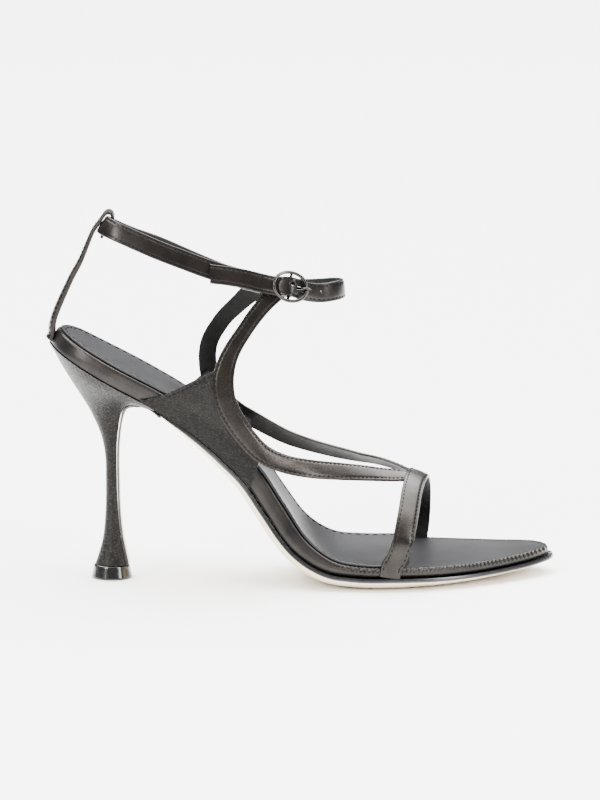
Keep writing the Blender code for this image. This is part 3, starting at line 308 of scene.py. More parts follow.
# Ankle strap's inner face: share of the span, share of the ankle's rise, share of the spread, cant of the
# strap's width from upright in degrees
ANKLE_PATH = (
    ("at the bar", 0.467, 1.110, -0.940, 18),
    ("outer front", 0.440, 1.016, -0.988, 18),
    ("side strap", 0.397, 0.892, -1.000, 19),
    ("outer instep", 0.351, 0.812, -1.000, 20),
    ("outer side", 0.307, 0.748, -1.000, 20),
    ("outer ankle", 0.258, 0.704, -0.976, 21),
    ("outer heel", 0.208, 0.676, -0.918, 22),
    ("outer back", 0.152, 0.657, -0.776, 25),
    ("outer turn", 0.113, 0.645, -0.600, 28),
    ("near the stay", 0.095, 0.637, -0.340, 33),
    ("back", 0.094, 0.630, 0.000, 34),
    ("past the stay", 0.095, 0.621, 0.340, 33),
    ("inner turn", 0.113, 0.617, 0.600, 28),
    ("inner back", 0.143, 0.621, 0.741, 25),
    ("inner heel", 0.199, 0.641, 0.882, 22),
    ("inner ankle", 0.255, 0.660, 0.953, 21),
    ("inner side", 0.311, 0.701, 0.988, 20),
    ("inner instep", 0.368, 0.775, 1.000, 16),
    ("inner strap", 0.424, 0.904, 0.976, 12),
    ("inner front", 0.480, 1.105, 0.859, 9),
    ("front round", 0.527, 1.237, 0.659, 7),
    ("front corner", 0.560, 1.297, 0.376, 6),
    ("front", 0.575, 1.314, 0.000, 6),
    ("outer corner", 0.562, 1.304, -0.395, 8),
    ("outer round", 0.533, 1.263, -0.655, 11),
    ("to the buckle", 0.500, 1.205, -0.845, 15),
)
TIP_REACH = 34.0 * MM               # free end of the strap past the bar
TIP_SLANT = 0.9 * MM                # its end is cut at a slant

# Layers at the buckle: distance from the bar, rise of the inner face, share of the full thickness, bow of
# the width, shift up along the width. Distances run backwards, the way the strap leaves the bar.
FIXED_END = (
    ("over the bar", 0.0, 2.75, 0.55, 0.0, 0.0),
    ("past the bar", 3.3, 1.60, 0.68, 0.3, 0.0),
    ("tail's end", 5.0, 0.80, 0.76, 0.8, 0.0),
    ("under the rim", 8.0, 0.20, 1.00, 0.8, 0.0),
    ("one layer", 12.0, 0.00, 1.00, 0.3, 0.0),
)
FREE_END = (
    ("one layer", -16.0, 0.00, 1.00, 0.3, 0.0),
    ("before the rim", -12.0, 0.40, 1.00, 0.5, 0.0),
    ("under the front rim", -8.0, 1.15, 1.00, 0.8, 0.0),
    ("inside the frame", -5.0, 1.80, 1.00, 0.7, 0.0),
    ("before the bar", -3.3, 2.55, 1.00, 0.3, 0.0),
    ("over the bar", 0.0, 3.85, 1.00, 0.0, 0.0),
    ("past the bar", 3.3, 2.95, 1.00, 0.3, 0.0),
    ("over the tail's end", 5.0, 2.25, 1.00, 0.8, 0.0),
    ("under the rear rim", 8.0, 2.00, 1.00, 0.8, 0.0),
    ("two layers", 12.0, 1.80, 1.00, 0.3, 0.0),
    ("still on the strap", 17.0, 1.80, 1.00, 0.3, 0.0),
    ("drooping", 26.0, 1.80, 1.00, 0.3, -0.8),
    ("tip", 34.0, 1.80, 1.00, 0.3, -2.0),
)
BAR_RISE = 1.9 * MM                 # middle of the bar above the strap's inner face
TAIL_LENGTH = 3.8 * MM              # end of the strap folded round the bar
# rises of the frame's middle line at its front, side and rear
FRAME_RISE = (4.05 * MM, 3.8 * MM, 4.8 * MM)
# prong from its curl round the bar to its tip: distance in front of the bar, rise
PRONG = ((1.2, 2.62), (2.4, 2.28), (3.4, 2.45), (4.4, 3.40),
         (5.4, 4.70), (6.6, 5.50), (8.1, 5.62), (9.1, 5.35))
SLOT_WIDTH = 2.1 * MM
BAR_SLOT = (-2.9, 2.4, -0.4, 3.62)  # in the fold round the bar: from, to, low, high
TIP_SLOT = (-5.9, -2.5, 0.6, 7.0)   # in the free end

# Back stay's inner face from the floor frame: place, x, height
BACK_STAY = (
    ("above the seat", -24.7, 111.8),
    ("low", -23.3, 116.6),
    ("lower middle", -21.2, 121.6),
    ("middle", -18.7, 127.1),
    ("upper middle", -15.8, 133.1),
    ("high", -12.1, 139.9),
)


# Seams and surface relief
STITCH_PITCH = 2.1 * MM
STITCH_LENGTH = 1.35 * MM
STITCH_THICK = 0.5 * MM
STITCH_INSET = 1.2 * MM             # seam from a strap's edge
PANEL_SEAM_INSET = 1.5 * MM         # seam from the panels' back edge
SEAM_DEPTH = 0.12 * MM
SEAM_SPREAD = 0.42 * MM
SOCK_STITCH_PITCH = 3.9 * MM
SOCK_STITCH_INSET = 2.3 * MM
BEAD_PITCH = 1.7 * MM               # embossed beads along the forefoot's edge
BEAD_DEPTH = 0.55 * MM
BEAD_START = 0.60                   # share of the footbed where the beads begin
STEP = 0.7 * MM                     # spacing of the rings along a strap
FACE_STEPS = 26                     # steps across a strap's face
# empty holes of the strap: distance from the bar, across, diameter
STRAP_HOLES = ((-0.6, 1.2, 2.0), (-14.5, 0.2, 1.5))
STRAP_HOLE_DEPTH = ((3.2, 8.0), (-2.0, 4.0))
SOLE_RUNGS = 12                     # steps across the sole
BOARD_RUNGS = 10
BOARD_STEPS = 720
SOCK_STEPS = 260
FOLD_ROWS = 9                       # rows of the strap's fold round the bar, which isn't stitched

# Board's rounded upper edge: distance out and drop as shares of BOARD_SOFT, share of the beads' depth
BOARD_ROUND = (
    (-2.4, 0.0, 0.0),
    (-1.0, 0.0, 0.1),
    (-0.62, 0.06, 0.6),
    (-0.3, 0.24, 1.0),
    (-0.08, 0.56, 1.0),
    (0.0, 1.0, 1.0),
)
# its side: distance out in mm, share of its thickness, share of the beads' depth
BOARD_SIDE = (
    (0.0, 0.36, 0.7),
    (0.05, 0.5, 0.25),
    (0.0, 0.85, 0.0),
    (-0.6, 1.0, 0.0),
)
# Sock's turned edge: place, distance in from the edge in mm, share of its thickness, depth of the seam in mm
SOCK_EDGE = (
    ("flat", 3.6, 1.0, 0.0),
    ("seam", 2.3, 1.0, 0.22),
    ("past the seam", 1.3, 1.0, 0.0),
    ("turn", 0.35, 1.0, 0.0),
    ("round", 0.0, 0.65, 0.0),
    ("lower edge", 0.0, 0.0, 0.0),
)
# soft prints in the sock: share of the footbed's length and its spread, then place across, its spread and
# the depth in mm
SOCK_PRINTS = (
    ("heel", 0.12, 0.09, 0.0, 17.0, 0.35),
    ("ball", 0.66, 0.07, 4.0, 24.0, 0.30),
)

# Camera
CAMERA_RISE = 10.0                  # degrees above level
CAMERA_FAR = 2.5
CAMERA_LENS = 258.6                 # mm, on a 36 mm frame height
CAMERA_AIM = (82.2 * MM, 0.0, 78.5 * MM)


def smooth(table, column, key):
    """A function through a table's column, with no overshoot."""
    xs = [row[key] for row in table]
    ys = [row[column] for row in table]
    count = len(xs)
    step = [(ys[i + 1] - ys[i]) / (xs[i + 1] - xs[i]) for i in range(count - 1)]
    slope = [step[0]]
    for i in range(1, count - 1):
        rising = step[i - 1] * step[i] > 0
        slope.append(2 * step[i - 1] * step[i] / (step[i - 1] + step[i]) if rising else 0.0)
    slope.append(step[-1])

    def value(x):
        x = min(max(x, xs[0]), xs[-1])
        i = max(k for k in range(count - 1) if xs[k] <= x)
        wide = xs[i + 1] - xs[i]
        t = (x - xs[i]) / wide
        return ((1 + 2 * t) * (1 - t) ** 2 * ys[i] + t * (1 - t) ** 2 * wide * slope[i]
                + t * t * (3 - 2 * t) * ys[i + 1] + t * t * (t - 1) * wide * slope[i + 1])
    return value


def spline(points, per_span=12, closed=False):
    """Points of a smooth curve through the given ones, in any number of dimensions."""
    pts = [np.array(p, float) for p in points]
    count = len(pts)
    if closed:
        pts = [pts[-1]] + pts + pts[:2]
    else:
        pts = [2 * pts[0] - pts[1]] + pts + [2 * pts[-1] - pts[-2]]
    out = []
    for i in range(1, count + closed):
        a, b, c, d = pts[i - 1:i + 3]
        k0, k1, k2 = (max(np.linalg.norm((q - p)[:2]), 1e-9) ** 0.5 for p, q in ((a, b), (b, c), (c, d)))
        m1 = (c - b) + k1 * ((b - a) / k0 - (c - a) / (k0 + k1))
        m2 = (c - b) + k1 * ((d - c) / k2 - (d - b) / (k1 + k2))
        for j in range(per_span):
            t = j / per_span
            out.append((1 + 2 * t) * (1 - t) ** 2 * b + t * (1 - t) ** 2 * m1
                       + t * t * (3 - 2 * t) * c + t * t * (t - 1) * m2)
    if not closed:
        out.append(pts[count])
    return np.array(out)


def measured(points):
    """Distance along a run of points."""
    return np.concatenate(([0.0], np.cumsum(np.linalg.norm(np.diff(points, axis=0), axis=1))))


def spaced(points, count, measure=None):
    """The same curve as evenly spaced points."""
    at = measured(points[:, :measure])
    want = np.linspace(0, at[-1], count)
    return np.column_stack([np.interp(want, at, points[:, k]) for k in range(points.shape[1])])


class Track:
    """A curve in the XZ plane, read by distance along it and height square to it."""

    def __init__(self, points):
        self.points = np.array(points, float)
        self.at = measured(self.points)
        self.length = self.at[-1]
        run = np.gradient(self.points, axis=0)
        self.run = run / np.linalg.norm(run, axis=1)[:, None]

    def place(self, along, height=0.0):
        inside = min(max(along, 0.0), self.length)
        x, z, rx, rz = (np.interp(inside, self.at, c) for c in (*self.points.T, *self.run.T))
        size = math.hypot(rx, rz)
        rx, rz = rx / size, rz / size
        past = along - inside
        return x + rx * past - rz * height, z + rz * past + rx * height


def span_x(share):
    return share * FOOTBED_SPAN - HEEL_BACK


FOOT = Track(spline([(span_x(x), BALL_LEVEL + z * SEAT_RISE - SOCK_THICK - LAYER_GAP)
                     for _, x, z in FOOTBED]))
BOARD_SHARE, DISH_SHARE, SOLE_SHARE = (smooth(SOLE_LAYERS, k, 0) for k in (1, 2, 3))


def board_depth(along):
    return BOARD_THICK * BOARD_SHARE(along / FOOT.length)


def footbed_height(x):
    """Height of the footbed over a place on the floor."""
    return float(np.interp(x, FOOT.points[:, 0], FOOT.points[:, 1]))


def footbed_along(x):
    return float(np.interp(x, FOOT.points[:, 0], FOOT.at))


def laid_flat():
    """The board's outline laid flat: outer side and inner side, each from heel tip to toe tip."""
    seat_share = SEAT_WIDTH / (0.708 * BALL_WIDTH)
    rows = [(a * FOOT.length, y * BALL_WIDTH * (seat_share if a < 0.25 else 1.0))
            for _, a, y in OUTER_SIDE + INNER_SIDE]
    tip = len(OUTER_SIDE) * 12
    whole = spline(rows, 12, closed=True)
    return whole[:tip + 1], np.vstack([whole[tip:], whole[:1]])[::-1]


OUTLINE = dict(zip((-1, 1), laid_flat()))


def edge_across(side, along, offset=0.0):
    """How far the outline stands from the middle line on one side, at a distance along the footbed."""
    curve = moved_out(side, offset) if offset else OUTLINE[side]
    order = np.argsort(curve[:, 0], kind="stable")
    return float(np.interp(along, curve[order, 0], curve[order, 1]))


def moved_out(side, offset):
    """One side of the outline moved out square to itself."""
    pts = OUTLINE[side]
    run = np.gradient(pts, axis=0)
    run[0] = (0, side)
    run[-1] = (0, -side)
    run /= np.linalg.norm(run, axis=1)[:, None]
    return pts + np.column_stack([-run[:, 1], run[:, 0]]) * side * offset


def outline(offset, ends=(0.0, 1.0), steps=SIDE_STEPS):
    """Both sides of the outline moved out by an offset, as the same number of points each."""
    pairs = []
    for side in (-1, 1):
        pts = moved_out(side, offset)
        low, high = (e * FOOT.length for e in ends)
        keep = np.ones(len(pts), bool)
        if ends[0] > 0:
            keep &= pts[:, 0] > low
        if ends[1] < 1:
            keep &= pts[:, 0] < high
        part = pts[keep]
        if ends[0] > 0:
            part = np.vstack([(low, edge_across(side, low, offset)), part])
        if ends[1] < 1:
            part = np.vstack([part, (high, edge_across(side, high, offset))])
        pairs.append(spaced(part, steps + 1))
    return pairs


def bed(along, across, height):
    """A point over the footbed, which is hollow across: its middle lies lower than its edges."""
    inside = min(max(along, 0.0), FOOT.length)
    low, high = edge_across(-1, inside), edge_across(1, inside)
    off = min(abs(across - (low + high) / 2) / max((high - low) / 2, MM), 1.0)
    dip = DISH * DISH_SHARE(inside / FOOT.length) * (1 - off * off)
    x, z = FOOT.place(along, height - dip)
    return Vector((x, across, z))


def loop_of(outer, inner, rungs=RUNGS, bulge=0.0):
    """The closed run of points round two sides, with points along each straight end."""
    def across(a, b, reach):
        return [a + (b - a) * k / rungs + np.array((reach * math.sin(math.pi * k / rungs), 0))
                for k in range(1, rungs)]

    points = list(outer)
    if np.linalg.norm(outer[-1] - inner[-1]) < 1e-7:
        points += list(inner[-2:0:-1])
    else:
        points += across(outer[-1], inner[-1], bulge) + list(inner[:0:-1])
    if np.linalg.norm(outer[0] - inner[0]) > 1e-7:
        points += [inner[0]] + across(inner[0], outer[0], 0.0)
    return points


def along_table(rows, station=STATION, per_span=8):
    """A table's rows as a smooth run of evenly spaced rows, measured by their first three columns."""
    dense = spline(rows, per_span)
    steps = max(int(round(measured(dense[:, :3])[-1] / station)), 2)
    return spaced(dense, steps + 1, 3)


def seat_under(along, across):
    return bed(along, across, -board_depth(along) - LAYER_GAP)


SEAT_LEVEL = seat_under(0, 0).z
LIP_ALONG = min(np.linspace(0.1, 0.35, 251) * FOOT.length,
                key=lambda along: abs(seat_under(along, 0).x - LIP_REACH))
SOLE_START = 1.04 * LIP_ALONG       # where the sole leaves the footbed and turns down the breast


def lip_taper(along):
    """How far the sole's edge draws in towards the heel's lip."""
    return LIP_TAPER * max(1 - (along - SOLE_START) / LIP_TAPER_RUN, 0.0) ** 2


def heel_rows():
    """Back point, front point, half width and half width of the breast, of the heel's sections."""
    rows = []
    for _, back_z, back, front_z, front, width, breast in HEEL:
        half = width * SEAT_WIDTH / 2
        rows.append(((back * LIP_REACH, back_z * SEAT_LEVEL), (front * LIP_REACH, front_z * SEAT_LEVEL),
                     half, half * breast))
    low = TOPLIFT_HEIGHT + GAP
    (back, _), (front, _), half, breast = rows[0]
    rows[0] = ((back, low), (front, low), half, breast)
    return rows


def heel_section(back, front, half, breast, steps):
    """A section with a round back and a straight breast, as its two sides."""
    sides = []
    for side in (-1, 1):
        points = []
        for i in range(steps + 1):
            turn = math.pi * i / (1.35 * steps)
            reach = (1 - math.cos(turn)) / (1 - math.cos(math.pi / 1.35))
            width = math.sin(turn) * half if turn < math.pi / 2 else \
                half + (breast - half) * ((turn - math.pi / 2) / (math.pi / 1.35 - math.pi / 2)) ** 2
            points.append((reach, side * width))
        sides.append(np.array(points))

    def place(reach, across):
        return Vector((back[0] + (front[0] - back[0]) * reach, across,
                       back[1] + (front[1] - back[1]) * reach))
    return (*sides, place)


def sole_track():
    """Upper face of the sole on its middle line: from the toe along the waist, round the lip and down the
    breast of the heel. Also gives the distance along it at which the lip is."""
    under = [seat_under(a, (edge_across(-1, a) + edge_across(1, a)) / 2)
             for a in np.linspace(FOOT.length, SOLE_START, 26)]
    breast = [(front[0] + GAP, front[1] - (GAP if front[1] > 0.7 * SEAT_LEVEL else 0.0))
              for _, front, _, _ in reversed(heel_rows())]
    track = Track(spline([(p.x, p.z) for p in under] + breast, 8))
    return track, float(track.at[8 * len(under) - 8])


def stand(share, rise):
    """Place over the footbed, from a share of its span on the floor and a rise above the sock."""
    x = span_x(share)
    return x, footbed_height(x) + SOCK_THICK + LAYER_GAP + rise


def strap_rows(table, side):
    """A side strap's table as (x, y, z, lean, width)."""
    rows = []
    for _, share, ankle, vamp, ball, spread, lean, width in table:
        x, z = stand(share, ankle * ANKLE_RISE + vamp * VAMP_RISE)
        y = side * (ball * BALL_WIDTH + spread * ANKLE_SPREAD)
        rows.append((x, y, z, lean, width * STRAP_WIDTH))
    return rows


def strap_path(table, side):
    """A side strap's path, from the ankle strap to the V."""
    path = []
    for x, y, z, lean, width in along_table(strap_rows(table, side)):
        out = (0, side * math.cos(math.radians(lean)), math.sin(math.radians(lean)))
        path.append(((x, y, z), out, width, LEATHER, STRAP_BOW))
    return path


def landing(shares, side):
    """Places up the board's side for a strap: inner face points at the sole, the edge and just above."""
    foot, edge, above = (footbed_along(span_x(share)) for share in shares)
    step = 2 * MM
    slope = (edge_across(side, edge + step) - edge_across(side, edge - step)) / (2 * step)
    out = Vector((-side * slope, side, 0)).normalized()
    points = [bed(foot, edge_across(side, foot, GAP), 0.1 * MM - board_depth(foot)),
              bed(edge, edge_across(side, edge, GAP), -1.5 * MM),
              bed(above, edge_across(side, above, GAP) + side * 0.35 * MM, 2.2 * MM)]
    return points, out


def vamp_path():
    rows = []
    points, out = landing(VAMP_LANDINGS[0][1:], -1)
    rows += [(*p, *out) for p in points]
    for _, share, vamp, ball, turn in VAMP_ARCH:
        x, z = stand(share, vamp * VAMP_RISE)
        turn = math.radians(turn)
        rows.append((x, ball * BALL_WIDTH, z, VAMP_TILT * math.sin(turn), -math.cos(turn), math.sin(turn)))
    points, out = landing(VAMP_LANDINGS[1][1:], 1)
    rows += [(*p, *out) for p in reversed(points)]
    return [(row[:3], row[3:6], VAMP_STRAP_WIDTH, LEATHER, VAMP_STRAP_BOW) for row in along_table(rows)]


def panel_grid(side, edges, strap):
    """Inner face of a quarter panel, from the sole up to the middle of the strap over it."""
    first, last = ([row[0] for row in strap].index(edge[1]) for edge in edges)
    under = PANEL_THICK - GAP
    top = [(x, y - side * under, z) for x, y, z, _, _ in strap_rows(strap, side)[first:last + 1]]
    top = spaced(spline(top, 8), PANEL_COLUMNS + 1)
    grid = []
    for i, crown in enumerate(top):
        share = i / PANEL_COLUMNS
        low, high = (FOOT.length * (edges[0][k] + (edges[1][k] - edges[0][k]) * share) for k in (2, 3))
        middle = (low + high) / 2
        foot = [bed(along, edge_across(side, along, GAP), -depth) for along, depth in
                ((low, board_depth(low)), (middle, board_depth(middle) / 2), (high, 0.0))]
        edge, crown = foot[-1], Vector(crown)
        steps = [edge.lerp(crown, k / PANEL_ROWS) for k in range(1, PANEL_ROWS + 1)]
        bulge = min(0.4 * MM, 0.03 * (crown - edge).length)
        for k, p in enumerate(steps, 1):
            p.y += side * bulge * math.sin(math.pi * k / PANEL_ROWS)
        grid.append(foot + steps)
    return grid


class Loop:
    """The ankle strap's inner face as a closed curve, read by distance from the buckle's bar."""

    def __init__(self):
        rows = []
        for _, share, ankle, spread, cant in ANKLE_PATH:
            x, z = stand(share, ankle * ANKLE_RISE)
            rows.append((x, spread * ANKLE_SPREAD, z, cant))
        dense = spline(rows, 10, closed=True)
        self.points = np.vstack([dense, dense[:1]])
        self.at = measured(self.points[:, :3])
        self.length = self.at[-1]
        self.middle = self.points[:, :2].mean(axis=0)
        self.back = float(self.at[10 * [row[0] for row in ANKLE_PATH].index("back")])

    def row(self, distance):
        d = distance % self.length
        return np.array([np.interp(d, self.at, c) for c in self.points.T])

    def frame(self, distance):
        """Inner face point, direction of travel, outward direction and width direction."""
        step = 0.6 * MM
        here, before, after = (self.row(distance + d) for d in (0.0, -step, step))
        run = Vector(after[:3] - before[:3]).normalized()
        flat = Vector((run.y, -run.x, 0)).normalized()
        if flat.dot(Vector((here[0] - self.middle[0], here[1] - self.middle[1], 0))) < 0:
            flat = -flat
        cant = math.radians(here[3])
        out = flat * math.cos(cant) + Vector((0, 0, math.sin(cant)))
        out = (out - run * run.dot(out)).normalized()
        return Vector(here[:3]), run, out, run.cross(out)

    def spot(self, distance, rise, across=0.0):
        point, _, out, wide = self.frame(distance)
        return point + out * rise + wide * across


LOOP = Loop()
FIXED = [smooth(FIXED_END, k, 1) for k in (2, 3, 4, 5)]
FREE = [smooth(FREE_END, k, 1) for k in (2, 3, 4, 5)]


def fold_points():
    """Flesh side of the strap's end round the bar, as (distance, rise, turn of the out direction)."""
    radius = BAR_WIRE / 2 + 0.8 * GAP
    points = [(TAIL_LENGTH, BAR_RISE - radius - 0.1 * MM, 180), (TAIL_LENGTH / 2, BAR_RISE - radius, 180)]
    for turn in (180, 144, 108, 72, 36, 0):
        t = math.radians(turn)
        points.append((-radius * math.sin(t), BAR_RISE + radius * math.cos(t), turn))
    return points


def buckle_spot(distance, rise, across):
    """A place on the buckle, which is flat along and only follows the strap's direction at the bar."""
    point, run, out, wide = LOOP.frame(0.0)
    return point + run * distance + out * rise + wide * across


def turn_frames(path):
    """Point, direction of travel, outward and width directions of each row of a strap's path."""
    points = [Vector(row[0]) for row in path]
    frames = []
    for i, row in enumerate(path):
        run = (points[min(i + 1, len(points) - 1)] - points[max(i - 1, 0)]).normalized()
        out = Vector(row[1])
        out = (out - run * run.dot(out)).normalized()
        frames.append((points[i], run, out, run.cross(out)))
    return frames


def finer(path, step=STEP):
    """The same path with rows at an even, finer spacing."""
    rows = np.array([(*p, *o, w, t, b) for p, o, w, t, b in path])
    dense = spline(rows, 6)
    steps = max(int(measured(dense[:, :3])[-1] / step), 4)
    return [(r[:3], r[3:6], r[6], r[7], r[8]) for r in spaced(dense, steps + 1, 3)]


def skin(name, rings, close_ends=True, closed_way=False, bands=()):
    """A fine closed piece through rings of points. The rings run along it, each ring goes round it. bands
    are (first, last, material) steps round a ring that take another material than the first."""
    bpy.ops.object.select_all(action="DESELECT")
    columns = len(rings) - (0 if closed_way else 1)
    rows = len(rings[0])
    bpy.ops.mesh.primitive_grid_add(x_subdivisions=columns, y_subdivisions=rows, size=1, calc_uvs=True)
    piece = bpy.context.object
    piece.name = name
    spots = [(round((v.co.x + 0.5) * columns) % len(rings), round((v.co.y + 0.5) * rows) % rows)
             for v in piece.data.vertices]
    for low, high, number in bands:
        for face in piece.data.polygons:
            if low < (face.center.y + 0.5) * rows < high:
                face.material_index = number
    for vertex, (i, j) in zip(piece.data.vertices, spots):
        vertex.co = rings[i][j]
    middle = rings[len(rings) // 2]
    round_way = sum((Vector(middle[j]) - Vector(middle[j - 1])).length for j in range(rows))
    long_way = sum((Vector(rings[i][0]) - Vector(rings[i - 1][0])).length for i in range(1, len(rings)))
    for corner in piece.data.uv_layers.active.data:
        corner.uv = (corner.uv[0] * long_way, corner.uv[1] * round_way)
    bpy.ops.object.mode_set(mode="EDIT")
    bpy.ops.mesh.select_all(action="SELECT")
    bpy.ops.mesh.remove_doubles(threshold=1e-7)
    bpy.ops.mesh.dissolve_degenerate(threshold=1e-8)
    bpy.ops.mesh.select_all(action="DESELECT")
    if close_ends:
        bpy.ops.mesh.select_mode(type="EDGE")
        bpy.ops.mesh.select_non_manifold()
        bpy.ops.mesh.edge_face_add()
    bpy.ops.mesh.select_all(action="SELECT")
    bpy.ops.mesh.normals_make_consistent(inside=False)
    bpy.ops.object.mode_set(mode="OBJECT")
    bpy.ops.object.shade_smooth_by_angle(angle=math.radians(50))
    return piece


def band_section(width, thick, bow):
    """Cross-section of a strap as (across, lift) points: its face with two seams, folded edges, lining."""
    half = width / 2
    roll = 0.32 * thick
    flat = half - roll
    points = []
    for k in range(FACE_STEPS + 1):
        s = flat * (2 * k / FACE_STEPS - 1)
        inset = half - abs(s)
        lift = thick - 0.10 * MM * (abs(s) / half) ** 4
        lift -= SEAM_DEPTH * math.exp(-((inset - STITCH_INSET) / SEAM_SPREAD) ** 2)
        points.append((s, lift))
    edge = [(flat + roll * math.sin(t), thick * 0.5 * (1 + math.cos(t)) - 0.10 * MM * math.sin(t))
            for t in np.linspace(0.3, math.pi - 0.25, 7)]
    points += edge
    points += [(flat * (1 - 2 * k / 8), 0.0) for k in range(9)]
    points += [(-s, lift) for s, lift in reversed(edge)]
    return [(s, lift - bow * (s / half) ** 2) for s, lift in points]


def strap(name, path, slant=(0.0, 0.0)):
    """A stitched strap along a path."""
    rings = []
    frames = turn_frames(path)
    for i, ((point, run, out, wide), (_, _, width, thick, bow)) in enumerate(zip(frames, path)):
        lean = slant[0] if i == 0 else slant[1] if i == len(path) - 1 else 0.0
        rings.append([point + wide * s + out * lift + run * (lean * 2 * s / width)
                      for s, lift in band_section(width, thick, bow)])
    return skin(name, rings)


def seam_spots(path, inset=STITCH_INSET, pitch=STITCH_PITCH, start=1.2 * MM, ends=(0, None)):
    """Places of the stitches along both edges of a strap."""
    frames = turn_frames(path)
    at = measured(np.array([row[0] for row in path]))
    spots = []
    for side in (-1, 1):
        for want in np.arange(start, at[-1] - start, pitch):
            i = int(np.searchsorted(at, want))
            if i < ends[0] or (ends[1] is not None and i > ends[1]):
                continue
            point, run, out, wide = frames[i]
            _, _, width, thick, bow = path[i]
            s = width / 2 - inset
            lift = thick - 0.55 * SEAM_DEPTH - bow * (2 * s / width) ** 2
            spots.append((point + wide * side * s + out * lift, run, out))
    return spots


def stitches(name, spots, length=STITCH_LENGTH, thick=STITCH_THICK):
    """Stitches as small rounded lengths of thread, in one mesh."""
    bpy.ops.object.select_all(action="DESELECT")
    bpy.ops.mesh.primitive_uv_sphere_add(segments=8, ring_count=6, radius=0.5)
    piece = bpy.context.object
    piece.name = name
    ball = piece.data
    points = np.array([v.co for v in ball.vertices])
    faces = [tuple(p.vertices) for p in ball.polygons]
    all_points = []
    all_faces = []
    for point, run, out in spots:
        wide = run.cross(out)
        turn = np.array(Matrix((run * length, wide * thick, out * thick)))
        base = len(all_points) * len(points)
        all_points.append(points @ turn + np.array(point))
        all_faces += [tuple(base + k for k in face) for face in faces]
    mesh = bpy.data.meshes.new(name)
    mesh.from_pydata(np.vstack(all_points).tolist(), [], all_faces)
    piece.data = mesh
    bpy.data.meshes.remove(ball)
    bpy.ops.object.shade_smooth()
    return piece


def line_strap(piece, path):
    """Gives a strap's lining, on the side away from its outward direction, the second material."""
    points = np.array([row[0] for row in path])
    outs = np.array([row[1] for row in path])
    for face in piece.data.polygons:
        i = int(np.argmin(((points - np.array(face.center)) ** 2).sum(axis=1)))
        if float(np.dot(outs[i], face.normal)) < -0.35:
            face.material_index = 1


def wire(name, points, radii, sides=16, closed=False):
    """A round wire along points."""
    count = len(points)
    rings = []
    side = None
    for i, p in enumerate(points):
        after = points[(i + 1) % count] if closed else points[min(i + 1, count - 1)]
        before = points[i - 1] if closed else points[max(i - 1, 0)]
        run = (after - before).normalized()
        side = side or run.orthogonal()
        side = (side - run * run.dot(side)).normalized()
        up = run.cross(side)
        turns = [2 * math.pi * k / sides for k in range(sides)]
        rings.append([p + (side * math.cos(t) + up * math.sin(t)) * radii[i] for t in turns])
    return skin(name, rings, close_ends=not closed, closed_way=closed)


def slab_rings(layers, rungs, bulge=0.0):
    """Rings round a sole layer, one from each pair of points of its sides. layers run from top to bottom,
    each as (outer side, inner side, function to a point)."""
    rings = []
    for i in range(len(layers[0][0])):
        ring = []
        for k, (outer, inner, place) in ((0, layers[0]), (len(layers) - 1, layers[-1])):
            ends = (outer[i], inner[i]) if k == 0 else (inner[i], outer[i])
            across = [ends[0] + (ends[1] - ends[0]) * r / rungs for r in range(rungs + 1)]
            ring += [Vector(place(*p)) for p in across]
            middle = layers[1:-1] if k == 0 else layers[-2:0:-1]
            side = 1 if k == 0 else 0
            ring += [Vector(layer[2](*layer[side][i])) for layer in middle]
        rings.append(ring)
    if bulge:
        whole = len(rings) - 1
        for back in range(6):
            share = (1 - back / 6) ** 2
            ring = rings[whole - back]
            low, high = min(p.y for p in ring), max(p.y for p in ring)
            for p in ring:
                off = (p.y - low) / max(high - low, MM) * 2 - 1
                p.x += bulge * share * (1 - off * off)
    return rings


def make_board():
    """Insole board with its leather-covered edge. The forefoot's edge is embossed with beads."""
    layers = [(*outline(offset * BOARD_SOFT, steps=BOARD_STEPS), board_place(drop * BOARD_SOFT, 0.0, bead))
              for offset, drop, bead in BOARD_ROUND]
    layers += [(*outline(offset * MM, steps=BOARD_STEPS), board_place(0.0, depth, bead))
               for offset, depth, bead in BOARD_SIDE]
    rings = slab_rings(layers, BOARD_RUNGS)
    piece = skin("board_cover", rings, close_ends=False, bands=((0, BOARD_RUNGS, 1),))
    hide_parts("insole_board")
    return piece


def board_place(drop, depth, bead):
    """A place on the board, with the beads' swell along the forefoot."""
    def place(a, y):
        share = a / FOOT.length
        mask = min(max((share - BEAD_START) / 0.06, 0.0), 1.0)
        slant = 0.9 * MM * math.sin(math.pi * (drop / BOARD_SOFT + 2.0 * depth))
        wave = math.sin(math.pi * (a + slant) / BEAD_PITCH + 1.1 * math.sin(a / (11 * MM))) ** 2
        swell = BEAD_DEPTH * bead * mask * (wave - 0.75)
        low, high = edge_across(-1, min(max(a, 0), FOOT.length)), edge_across(1, min(max(a, 0), FOOT.length))
        side = -1 if y < (low + high) / 2 else 1
        return bed(a, y + side * swell, -drop - depth * board_depth(a) + 0.6 * swell)
    return place


